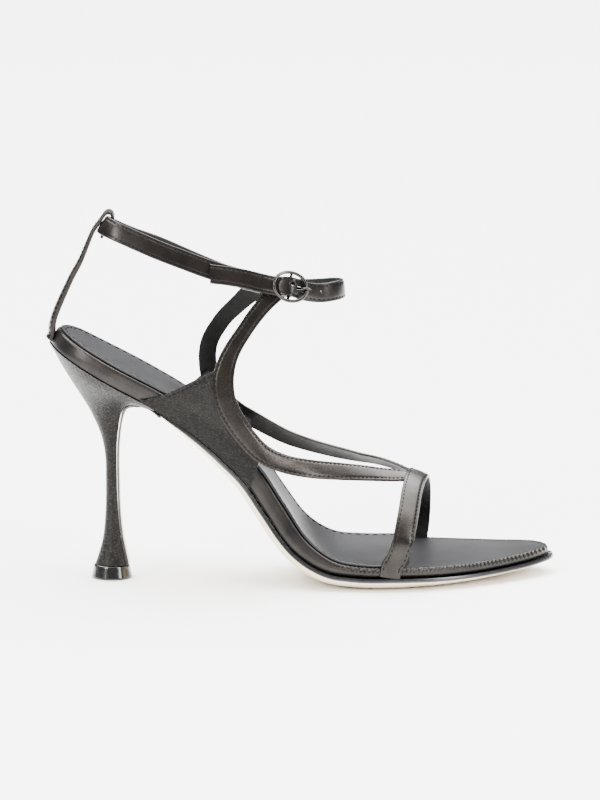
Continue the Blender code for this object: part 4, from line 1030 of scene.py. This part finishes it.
def make_sock():
    """Sock with a turned edge and the soft prints of heel and ball."""
    def top(lift):
        def place(a, y):
            share = a / FOOT.length
            print_depth = 0.0
            if lift > 0.5 * SOCK_THICK:
                for _, along, along_spread, across, across_spread, depth in SOCK_PRINTS:
                    print_depth += depth * MM * math.exp(-((share - along) / along_spread) ** 2
                                                         - ((y - across * MM) / (across_spread * MM)) ** 2)
            return bed(a, y, LAYER_GAP + lift - print_depth)
        return place

    layers = [(*outline(-SOCK_INSET - inset * MM, (0.0, SOCK_END), SOCK_STEPS),
               top(share * SOCK_THICK - groove * MM)) for _, inset, share, groove in SOCK_EDGE]
    piece = skin("sock_cover", slab_rings(layers, 26, SOCK_BULGE))
    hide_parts("sock")
    spots = []
    for side in (-1, 1):
        curve = moved_out(side, -SOCK_INSET - SOCK_STITCH_INSET)
        curve = curve[(curve[:, 0] > 2 * MM) & (curve[:, 0] < SOCK_END * FOOT.length)]
        at = measured(curve)
        lift = LAYER_GAP + SOCK_THICK - 0.16 * MM
        for want in np.arange(1.5 * MM, at[-1] - 2 * MM, SOCK_STITCH_PITCH):
            a, y = (np.interp(want, at, curve[:, k]) for k in (0, 1))
            b, w = (np.interp(want + 0.5 * MM, at, curve[:, k]) for k in (0, 1))
            here = bed(a, y, lift)
            run = (bed(b, w, lift) - here).normalized()
            spots.append((here, run, (bed(a, y, lift + MM) - here).normalized()))
    thread = stitches("sock_stitches", spots, 2.1 * MM, 0.5 * MM)
    return piece, thread


def make_heel():
    """Covered heel. Its points run smoothly through the named sections."""
    steps, rungs = 22, 10
    keys = [loop_points(*outline(0.0, (0.0, LIP_ALONG / FOOT.length), steps), seat_under, rungs)]
    for row in reversed(heel_rows()):
        keys.append(loop_points(*heel_section(*row, steps), rungs))
    tracks = [spline([key[k][::-1] for key in keys], 6) for k in range(len(keys[0]))]
    rings = [[Vector(track[i][::-1]) for track in tracks] for i in range(len(tracks[0]))]
    piece = skin("heel_cover", rings)
    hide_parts("heel")
    return piece


def loop_points(outer, inner, place, rungs):
    return [tuple(place(*p)) for p in loop_of(outer, inner, rungs)]


def make_toplift():
    low, high = TOPLIFT_WIDTH / 2, TOPLIFT_TOP_WIDTH / 2
    foot = 0.45 * MM
    profile = [(low - foot, 0.0)]
    profile += [(low - foot + foot * math.sin(t), foot - foot * math.cos(t)) for t in (0.4, 0.8, 1.2, 1.57)]
    profile += [(low + (high - low) * s, foot + (TOPLIFT_HEIGHT - foot) * s)
                for s in (0.1, 0.35, 0.6, 0.85, 0.96)]
    profile += [(high - 0.25 * MM, TOPLIFT_HEIGHT)]
    turns = np.linspace(0, 2 * math.pi, 72, endpoint=False)
    rings = [[Vector((r * math.cos(t), r * math.sin(t), z)) for t in turns] for r, z in profile]
    piece = skin("toplift_block", rings)
    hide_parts("toplift")
    return piece


def make_outsole():
    """Leather sole: painted edge, cream face, turned down the heel's breast."""
    track, lip = sole_track()
    reach = LEATHER + GAP + SOLE_PROUD
    heel = heel_rows()
    levels = [row[1][1] for row in heel]
    breasts = [row[3] for row in heel]
    narrow_end = lip + BREAST_NARROW_RUN * (track.length - lip)
    per_along = lip / (FOOT.length - SOLE_START)

    def to_along(t):
        return FOOT.length - t / per_along

    def thick(t):
        on_bed = SOLE_THICK * SOLE_SHARE(to_along(min(t, lip)) / FOOT.length)
        share = min(max((t - LIP_THIN_FROM * lip) / (LIP_THIN_RUN * lip), 0.0), 1.0)
        return on_bed + (BREAST_THICK - on_bed) * share * share * (3 - 2 * share)

    def sides(inward):
        made = []
        for side, curve in zip((-1, 1), outline(reach - inward, (SOLE_START / FOOT.length, 1.0), 200)):
            on_bed = [((FOOT.length - a) * per_along, y - side * lip_taper(a)) for a, y in curve[::-1]]
            start = abs(on_bed[-1][1])
            down = []
            for t in np.linspace(lip, track.length, 90)[1:]:
                breast = float(np.interp(track.place(t)[1], levels, breasts)) * (1 - inward / BREAST_RUN_OUT)
                share = min((t - lip) / (narrow_end - lip), 1.0)
                down.append((t, side * (start + (breast - start) * math.sin(share * math.pi / 2))))
            made.append(np.array(on_bed + down))
        return made

    def at_depth(edge, share):
        def place(t, y):
            along = min(max(to_along(t), 0.0), FOOT.length)
            low, high = edge_across(-1, along), edge_across(1, along)
            off = min(abs(y - (low + high) / 2) / max((high - low) / 2, MM), 1.0)
            rise = DISH * DISH_SHARE(along / FOOT.length) * off * off if t < lip else 0.0
            whole = thick(t)
            depth = min(SOLE_EDGE, 0.8 * whole) * edge + whole * share
            x, z = track.place(t, min(depth, whole) - rise)
            return Vector((x, y, max(z, 0.0)))
        return place

    contour = [(k, *row[1:]) for k, row in enumerate(SOLE_CONTOUR)]
    inward, edge, depth = (smooth(contour, column, 0) for column in (1, 2, 3))
    layers = [(*sides(0.12 * MM), at_depth(0.0, 0.0))]
    layers += [(*sides(inward(k)), at_depth(edge(k), depth(k))) for k in SOLE_CONTOUR_STEPS]
    rings = slab_rings(layers, SOLE_RUNGS)
    whole = len(rings[0])
    painted = ((0, SOLE_RUNGS + 4, 1), (whole - 4, whole, 1))
    piece = skin("sole_leather", rings, bands=painted)
    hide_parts("outsole")
    return piece


def make_panel(name, side, edges, table):
    """A quarter panel. Its rings lie one above the other: out along its face and back along its lining. The
    back edge is folded and stitched."""
    grid = panel_grid(side, edges, table)
    last = len(grid) - 1
    rings = []
    spots = []
    for j in range(len(grid[0])):
        inner, outer = [], []
        for i, column in enumerate(grid):
            run = grid[min(i + 1, last)][0] - grid[max(i - 1, 0)][0]
            out = run.cross(column[min(j + 1, len(column) - 1)] - column[max(j - 1, 0)]).normalized()
            out = out if out.y * side > 0 else -out
            inset = (column[j] - grid[0][j]).length
            groove = SEAM_DEPTH * math.exp(-((inset - PANEL_SEAM_INSET) / SEAM_SPREAD) ** 2)
            round_off = max(1 - min(i, last - i) / 3, 0.0)
            inner.append(column[j] + out * 0.2 * PANEL_THICK * round_off)
            outer.append(column[j] + out * (PANEL_THICK * (1 - 0.25 * round_off) - groove))
        rings.append(outer + inner[::-1])
        spots.append(next((outer[i], outer[i + 1] - outer[i], outer[i] - inner[i]) for i in range(last)
                          if (grid[i][j] - grid[0][j]).length >= PANEL_SEAM_INSET))
    piece = skin(name, rings, bands=((last + 0.5, 2 * last + 1.5, 1),))
    line = np.array([spot[0] for spot in spots])
    at = measured(line)
    places = []
    for want in np.arange(at[2] + 0.8 * MM, at[-1] - STRAP_WIDTH / 2, STITCH_PITCH):
        k = int(np.searchsorted(at, want))
        here, before = (Vector([np.interp(d, at, c) for c in line.T]) for d in (want, want - 0.5 * MM))
        out = spots[k][2].normalized()
        places.append((here + out * 0.03 * MM, (here - before).normalized(), out))
    return piece, stitches(name + "_stitches", places)


def make_band(name, path, ends):
    """A lined strap and its thread, which runs between two rows of its path."""
    piece = strap(name, path)
    line_strap(piece, path)
    return piece, stitches(name + "_stitches", seam_spots(path, ends=ends))


def make_side_strap(name, table, side):
    path = finer(strap_path(table, side))
    return make_band(name, path, (4, len(path) - 12))


def make_vamp_strap():
    path = finer(vamp_path())
    return make_band("vamp_band", path, (3, len(path) - 3))


def ankle_path():
    """The ankle strap from its fold round the bar, round the ankle and through the buckle to its tip."""
    path = []
    for distance, rise, turn in fold_points():
        point, run, out, _ = LOOP.frame(0.0)
        t = math.radians(turn)
        way = out * math.cos(t) - run * math.sin(t)
        path.append((point + run * distance + out * rise, way, ANKLE_WIDTH, 0.55 * ANKLE_THICK, 0.0))
    near = list(np.arange(1.0, 17.0, 1.0))
    way_round = list(np.arange(17.0, LOOP.length / MM - 16.5, 1.0))
    far = list(np.arange(-16.0, TIP_REACH / MM + 0.5, 0.8))
    for distances, layer in ((near + way_round, FIXED), (far, FREE)):
        for d in distances:
            rise, share, bow, shift = (column(d) for column in layer)
            point, _, out, wide = LOOP.frame(d * MM)
            path.append((point + out * rise * MM + wide * shift * MM, out, ANKLE_WIDTH,
                         share * ANKLE_THICK, bow * MM))
    return path


def cut_away(piece, name, rings):
    """Cuts a closed shape out of a piece."""
    cutter = skin(name, rings)
    cut = piece.modifiers.new(name, "BOOLEAN")
    cut.operation = "DIFFERENCE"
    cut.object = cutter
    bpy.ops.object.select_all(action="DESELECT")
    bpy.context.view_layer.objects.active = piece
    piece.select_set(True)
    bpy.ops.object.modifier_apply(modifier=name)
    bpy.data.objects.remove(cutter)


def make_ankle_strap():
    path = ankle_path()
    piece = strap("ankle_band", path, slant=(0.0, TIP_SLANT))
    line_strap(piece, path)
    for name, (start, end, low, high) in (("bar_slot", BAR_SLOT), ("tip_slot", TIP_SLOT)):
        middle = 0.0 if name == "bar_slot" else (start + end) / 2
        point, run, out, wide = LOOP.frame(middle * MM)
        rings = [[point + run * (d - middle) * MM + out * h * MM + wide * w * SLOT_WIDTH / 2
                  for h, w in ((low, -1), (low, 1), (high, 1), (high, -1))] for d in (start, end)]
        cut_away(piece, name, rings)
    for number, (distance, across, size) in enumerate(STRAP_HOLES):
        point, run, out, wide = LOOP.frame(distance * MM)
        turns = np.linspace(0, 2 * math.pi, 16, endpoint=False)
        radius = size / 2 * MM
        rings = [[point + wide * (across * MM + radius * math.cos(t)) + run * radius * math.sin(t)
                  + out * h * MM for t in turns] for h in STRAP_HOLE_DEPTH[number]]
        cut_away(piece, "hole", rings)
    spots = seam_spots(path, start=6 * MM, ends=(FOLD_ROWS, len(path) - 3))
    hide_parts("ankle_strap")
    return piece, stitches("ankle_band_stitches", spots)


def make_back_stay():
    path = stay_path()
    piece = strap("back_stay_band", path)
    line_strap(piece, path)
    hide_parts("back_stay")
    return piece, stitches("back_stay_stitches", seam_spots(path, ends=(2, int(0.78 * len(path)))))


def stay_path():
    """Back stay's path, up from the seat, over the ankle strap and down inside it."""
    point, _, out, _ = LOOP.frame(LOOP.back)
    up = Vector((out.z, 0, -out.x))
    half = ANKLE_WIDTH / 2
    clear = ANKLE_THICK + 1.6 * GAP

    def by_strap(along, rise):
        p = point + up * along + out * rise
        return (p.x, p.z)

    rows = [FOOT.place(-1.5 * GAP, -depth) for depth in STAY_FOOT]
    rows += [(x * MM, z * MM) for _, x, z in BACK_STAY]
    rows += [by_strap(-half, clear + 0.1 * MM), by_strap(0.0, clear), by_strap(half, clear)]
    over = len(rows) - 1
    radius = ANKLE_THICK / 2 + GAP
    for turn in (45, 90, 135):
        t = math.radians(turn)
        rows.append(by_strap(half + GAP + radius * math.sin(t), ANKLE_THICK / 2 + radius * math.cos(t)))
    inside = -3.7 * GAP
    rows += [by_strap(half, inside), by_strap(0.0, inside), by_strap(-half - 0.8 * MM, inside)]
    curve = spline(rows, 10)
    top = measured(curve)[10 * over]
    path = spaced(curve, int(measured(curve)[-1] / (0.8 * STEP)) + 1)
    made = []
    for (x, z), (run_x, run_z), at in zip(path, np.gradient(path, axis=0), measured(path)):
        share = min(at / top, 1.0)
        width = STAY_WIDTH + (STAY_TOP_WIDTH - STAY_WIDTH) * share
        thick = STAY_THICK + (STAY_TOP_THICK - STAY_THICK) * share ** 3
        made.append(((x, 0.0, z), (-run_z, 0.0, run_x), width, thick, STAY_BOW * (1 - share)))
    return made


def make_buckle():
    long_way, wide_way = (FRAME_LENGTH - FRAME_WIRE) / 2, (FRAME_WIDTH - FRAME_WIRE) / 2
    front, level, rear = FRAME_RISE
    turn = math.radians(FRAME_TURN)
    points = []
    for t in np.linspace(0, 2 * math.pi, 96, endpoint=False):
        a, b = long_way * math.cos(t), wide_way * math.sin(t)
        rise = level + ((rear if a > 0 else front) - level) * (a / long_way) ** 2
        points.append(buckle_spot(a * math.cos(turn) - b * math.sin(turn), rise,
                                  a * math.sin(turn) + b * math.cos(turn)))
    frame = wire("buckle_oval", points, [FRAME_WIRE / 2] * len(points), closed=True)
    reach = wide_way * math.cos(turn)
    ends = [(-reach - 0.1 * MM, level), (-reach + 0.5 * MM, 0.5 * (level + BAR_RISE)), (-4.6 * MM, BAR_RISE)]
    rows = ends + [(-w, h) for w, h in reversed(ends)]
    spots = [buckle_spot(0, h, w) for w, h in spline(rows, 6)]
    bar = wire("buckle_bar", spots, [BAR_WIRE / 2] * len(spots), sides=12)
    radius = (BAR_WIRE + PRONG_WIRE) / 2 + 0.6 * GAP
    curl = []
    for degrees in range(300, 89, -35):
        t = math.radians(degrees)
        curl.append((-radius * math.cos(t), BAR_RISE + radius * math.sin(t)))
    rows = curl + [(-d * MM, h * MM) for d, h in PRONG]
    spots = [buckle_spot(d, h, 0) for d, h in spline(rows, 4)]
    tip = 5
    radii = [PRONG_WIRE / 2] * (len(spots) - tip)
    radii += [PRONG_WIRE / 2 * math.sqrt(max(1 - ((k + 1) / tip) ** 2, 0.09)) for k in range(tip)]
    prong = wire("prong_wire", spots, radii, sides=12)
    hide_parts("buckle_frame")
    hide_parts("buckle_prong")
    return frame, bar, prong


def linear(code):
    """An sRGB hex colour as linear RGBA."""
    parts = [int(code[k:k + 2], 16) / 255 for k in (1, 3, 5)]
    return (*[c / 12.92 if c <= 0.04045 else ((c + 0.055) / 1.055) ** 2.4 for c in parts], 1.0)


def node(tree, kind, inputs=None, **settings):
    """Adds a node with its settings, and its inputs as values or links."""
    made = tree.nodes.new("ShaderNode" + kind)
    for key, value in settings.items():
        setattr(made, key, value)
    for key, value in (inputs or {}).items():
        if isinstance(value, bpy.types.NodeSocket):
            tree.links.new(value, made.inputs[key])
        else:
            made.inputs[key].default_value = value
    return made


def start_material(name, **values):
    """A material with its own shader, whose even values are set straight on its sockets."""
    material = bpy.data.materials.new(name)
    material.use_nodes = True
    tree = material.node_tree
    shader = tree.nodes["Principled BSDF"]
    for key, value in values.items():
        shader.inputs[key.replace("_", " ")].default_value = value
    return material, tree, shader


def two_tones(tree, fac, dark, light):
    ramp = node(tree, "ValToRGB", {"Fac": fac})
    ramp.color_ramp.elements[0].color = linear(dark)
    ramp.color_ramp.elements[1].color = linear(light)
    ramp.color_ramp.elements[0].position = 0.3
    ramp.color_ramp.elements[1].position = 0.7
    return ramp.outputs["Color"]


def spread(tree, fac, low, high):
    return node(tree, "MapRange", {"Value": fac, "To Min": low, "To Max": high}).outputs["Result"]


def finish(material, tree, shader, rough, relief):
    """Links a surface's roughness, given as a pattern with its least and most, and its relief, given as a
    height with its strength and its depth in millimetres."""
    height, strength, depth = relief
    bump = node(tree, "Bump", {"Height": height, "Strength": strength, "Distance": depth * MM})
    tree.links.new(spread(tree, *rough), shader.inputs["Roughness"])
    tree.links.new(bump.outputs["Normal"], shader.inputs["Normal"])
    return material


def metallic_calf(name, dark, light, roughness=0.36, grain=0.05):
    """Calf leather under a metallic foil: a soft satin shine, slightly cloudy, with a very fine grain."""
    material, tree, shader = start_material(name, Metallic=0.78, Coat_Weight=0.12, Coat_Roughness=0.25)
    place = node(tree, "TexCoord").outputs["Object"]
    cloud = node(tree, "TexNoise", {"Vector": place, "Scale": 110.0, "Detail": 4.0, "Roughness": 0.6})
    pore = node(tree, "TexNoise", {"Vector": place, "Scale": 1500.0, "Detail": 3.0, "Roughness": 0.65})
    cell = node(tree, "TexVoronoi", {"Vector": place, "Scale": 1300.0}, feature="DISTANCE_TO_EDGE")
    edge = spread(tree, cell.outputs["Distance"], 0.0, 3.0)
    height = node(tree, "Math", {0: pore.outputs["Fac"], 1: edge}, operation="ADD")
    tree.links.new(two_tones(tree, cloud.outputs["Fac"], dark, light), shader.inputs["Base Color"])
    return finish(material, tree, shader, (pore.outputs["Fac"], roughness - 0.08, roughness + 0.12),
                  (height.outputs["Value"], 0.35, grain))


def embossed_calf(name, dark, light, pitch=1.15, depth=0.16, metallic=0.6):
    """The same leather pressed with fine lizard rows: short wavy ridges one above the other that glint, with
    painted shade in the grooves between them.
    """
    material, tree, shader = start_material(name, Metallic=metallic, Specular_IOR_Level=0.25)
    place = node(tree, "TexCoord").outputs["Object"]
    wander = node(tree, "TexNoise", {"Vector": place, "Scale": 260.0, "Detail": 2.0})
    shift = node(tree, "VectorMath", {0: wander.outputs["Color"], 1: (0.0022, 0.0022, 0.0022)},
                 operation="MULTIPLY")
    moved = node(tree, "VectorMath", {0: place, 1: shift.outputs["Vector"]}, operation="ADD")
    flat = node(tree, "Mapping", {"Vector": moved.outputs["Vector"], "Scale": (0.42, 0.42, 1.0)})
    scales = node(tree, "TexVoronoi", {"Vector": flat.outputs["Vector"], "Scale": 1 / (pitch * MM),
                                       "Randomness": 0.8}, feature="DISTANCE_TO_EDGE")
    relief = spread(tree, scales.outputs["Distance"], 0.0, 3.2)
    cloud = node(tree, "TexNoise", {"Vector": place, "Scale": 420.0, "Detail": 4.0})
    height = node(tree, "Math", {0: cloud.outputs["Fac"], 1: 0.6, 2: relief}, operation="MULTIPLY_ADD")
    # Base colour from the relief: darker in the grooves between the scales, which is painted shade
    tree.links.new(two_tones(tree, relief, dark, light), shader.inputs["Base Color"])
    return finish(material, tree, shader, (cloud.outputs["Fac"], 0.34, 0.55),
                  (height.outputs["Value"], 0.7, depth))


def lining_leather(name, dark, light, roughness=0.5, crease=60.0):
    """Nappa lining: a close, soft surface with faint creases across and a cloudy sheen, which comes partly
    from its roughness and is partly painted into its tone.
    """
    material, tree, shader = start_material(name, Metallic=0.15, Specular_IOR_Level=0.22)
    place = node(tree, "TexCoord").outputs["Object"]
    cloud = node(tree, "TexNoise", {"Vector": place, "Scale": crease, "Detail": 5.0, "Roughness": 0.6})
    pore = node(tree, "TexNoise", {"Vector": place, "Scale": 1900.0, "Detail": 3.0, "Roughness": 0.7})
    height = node(tree, "Math", {0: cloud.outputs["Fac"], 1: 1.6, 2: pore.outputs["Fac"]},
                  operation="MULTIPLY_ADD")
    # Tone from the creases' cloud: lighter on their rises and darker in their hollows, which is painted sheen
    # and shade
    tree.links.new(two_tones(tree, cloud.outputs["Fac"], dark, light), shader.inputs["Base Color"])
    return finish(material, tree, shader, (cloud.outputs["Fac"], roughness - 0.1, roughness + 0.1),
                  (height.outputs["Value"], 0.35, 0.12))


def sole_leather(name):
    """Vegetable-tanned sole leather, buffed: cream, matt, with faint long fibres."""
    material, tree, shader = start_material(name)
    place = node(tree, "TexCoord").outputs["Object"]
    stretch = node(tree, "Mapping", {"Vector": place, "Scale": (0.15, 1.0, 1.0)})
    fibre = node(tree, "TexNoise", {"Vector": stretch.outputs["Vector"], "Scale": 900.0, "Detail": 4.0})
    cloud = node(tree, "TexNoise", {"Vector": place, "Scale": 45.0, "Detail": 3.0})
    both = node(tree, "Math", {0: fibre.outputs["Fac"], 1: 0.35, 2: cloud.outputs["Fac"]},
                operation="MULTIPLY_ADD")
    tree.links.new(two_tones(tree, both.outputs["Value"], "#d9c3a0", "#efe0c6"), shader.inputs["Base Color"])
    return finish(material, tree, shader, (cloud.outputs["Fac"], 0.42, 0.62),
                  (fibre.outputs["Fac"], 0.25, 0.06))


def edge_paint(name, colour="#0d0c0c", roughness=0.28):
    """Black edge dressing: burnished, with a low gloss and fine unevenness."""
    material, tree, shader = start_material(name, Coat_Weight=0.3, Coat_Roughness=0.2)
    shader.inputs["Base Color"].default_value = linear(colour)
    place = node(tree, "TexCoord").outputs["Object"]
    uneven = node(tree, "TexNoise", {"Vector": place, "Scale": 700.0, "Detail": 3.0})
    return finish(material, tree, shader, (uneven.outputs["Fac"], roughness - 0.08, roughness + 0.12),
                  (uneven.outputs["Fac"], 0.3, 0.05))


def polished_nickel(name):
    """Cast zinc with a polished dark nickel plate: mirror-bright, faintly rippled."""
    material, tree, shader = start_material(name, Metallic=1.0)
    shader.inputs["Base Color"].default_value = linear("#3d3a37")
    place = node(tree, "TexCoord").outputs["Object"]
    ripple = node(tree, "TexNoise", {"Vector": place, "Scale": 600.0, "Detail": 2.0})
    return finish(material, tree, shader, (ripple.outputs["Fac"], 0.08, 0.18),
                  (ripple.outputs["Fac"], 0.15, 0.05))


def waxed_thread(name):
    """Waxed polyester thread, near black, with the fine twist of its strands."""
    material, tree, shader = start_material(name, Specular_IOR_Level=0.15)
    place = node(tree, "TexCoord").outputs["Object"]
    twist = node(tree, "TexNoise", {"Vector": place, "Scale": 4200.0, "Detail": 2.0})
    tree.links.new(two_tones(tree, twist.outputs["Fac"], "#020202", "#070606"), shader.inputs["Base Color"])
    return finish(material, tree, shader, (twist.outputs["Fac"], 0.75, 0.95),
                  (twist.outputs["Fac"], 0.4, 0.04))


def dress(piece, slot, *materials):
    """Gives a piece its materials and lets it ride on the shoe. slot is not used."""
    for material in materials:
        piece.data.materials.append(material)
    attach(piece, "root")


def build_shoe():
    calf = metallic_calf("metallic_calf", "#191613", "#2a2521", roughness=0.27)
    calf_dark = metallic_calf("metallic_calf_dark", "#171412", "#26211e", roughness=0.28)
    # embossed leathers: the dark tone is painted shade in the grooves between the scales
    lizard = embossed_calf("embossed_calf", "#11100f", "#22201d", pitch=0.66, depth=0.16)
    heel_lizard = embossed_calf("embossed_heel_calf", "#11100f", "#24211e", pitch=0.75, depth=0.18)
    # nappa tones: the light one is painted sheen on the creases' rises, the dark one painted shade in their
    # hollows
    lining = lining_leather("nappa_lining", "#0a0909", "#121110", roughness=0.5, crease=300.0)
    band = metallic_calf("edge_cover_leather", "#1b1918", "#292522", roughness=0.34)
    nappa = lining_leather("sock_nappa", "#18181a", "#222224", roughness=0.42, crease=70.0)
    thread = waxed_thread("waxed_thread")
    cream = sole_leather("sole_leather_face")
    black_edge = edge_paint("sole_edge_paint")
    rubber = edge_paint("toplift_rubber", "#080808", 0.16)
    nickel = polished_nickel("polished_nickel")

    board = make_board()
    dress(board, "board_cover", band, nappa)
    sock, sock_thread = make_sock()
    dress(sock, "sock_leather", nappa)
    dress(sock_thread, "sock_leather", thread)
    dress(make_heel(), "heel_cover", heel_lizard)
    dress(make_toplift(), "toplift_rubber", rubber)
    dress(make_outsole(), "sole_leather", cream, black_edge)

    for name, table, side in (("outer_side_strap", OUTER_STRAP, -1), ("inner_side_strap", INNER_STRAP, 1)):
        piece, seam = make_side_strap(name, table, side)
        dress(piece, "upper_leather", calf, lining)
        dress(seam, "upper_leather", thread)
    for name, side, edges, table in (("outer_quarter", -1, OUTER_PANEL, OUTER_STRAP),
                                     ("inner_quarter", 1, INNER_PANEL, INNER_STRAP)):
        piece, seam = make_panel(name, side, edges, table)
        dress(piece, "upper_leather", lizard, lining)
        dress(seam, "upper_leather", thread)
    vamp, seam = make_vamp_strap()
    dress(vamp, "upper_leather", calf, lining)
    dress(seam, "upper_leather", thread)
    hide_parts("upper")
    ankle, seam = make_ankle_strap()
    dress(ankle, "strap_leather", calf_dark, lining)
    dress(seam, "strap_leather", thread)
    stay, seam = make_back_stay()
    dress(stay, "upper_leather", calf_dark, lining)
    dress(seam, "upper_leather", thread)
    for piece in make_buckle():
        dress(piece, "buckle_metal", nickel)


def area_light(name, place, aim, size, power):
    light = bpy.data.lights.new(name, "AREA")
    light.shape = "RECTANGLE"
    light.size, light.size_y = size
    light.energy = power
    lamp = bpy.data.objects.new(name, light)
    bpy.context.scene.collection.objects.link(lamp)
    lamp.location = place
    lamp.rotation_euler = (Vector(aim) - Vector(place)).to_track_quat("-Z", "Y").to_euler()


def build_studio():
    bpy.ops.object.select_all(action="DESELECT")
    bpy.ops.mesh.primitive_plane_add(size=16, location=(0, 3, 0))
    floor = bpy.context.object
    floor.name = "studio_floor"
    material, _, shader = start_material("pale_floor", Roughness=0.7)
    shader.inputs["Base Color"].default_value = (0.95, 0.95, 0.95, 1)
    floor.data.materials.append(material)
    world = bpy.data.worlds.new("studio")
    bpy.context.scene.world = world
    world.use_nodes = True
    world.node_tree.nodes["Background"].inputs["Color"].default_value = (1, 1, 1, 1)
    world.node_tree.nodes["Background"].inputs["Strength"].default_value = 0.5
    middle = (0.08, 0.0, 0.08)
    area_light("overhead_softbox", (0.1, 1.2, 3.0), (0.1, 1.2, 0.0), (5.0, 5.0), 1150)
    area_light("left_softbox", (-0.75, -0.95, 0.75), middle, (0.3, 0.9), 22)
    area_light("right_softbox", (0.95, -0.75, 0.55), middle, (0.25, 0.8), 16)


def build_camera():
    camera = bpy.data.objects.new("camera", bpy.data.cameras.new("camera"))
    bpy.context.scene.collection.objects.link(camera)
    bpy.context.scene.camera = camera
    camera.data.lens = CAMERA_LENS
    camera.data.clip_start = 0.1
    rise = math.radians(CAMERA_RISE)
    away = Vector((0, -math.cos(rise), math.sin(rise)))
    camera.location = Vector(CAMERA_AIM) + away * CAMERA_FAR
    camera.rotation_euler = (-away).to_track_quat("-Z", "Y").to_euler()


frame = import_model()
build_shoe()
build_studio()
build_camera()
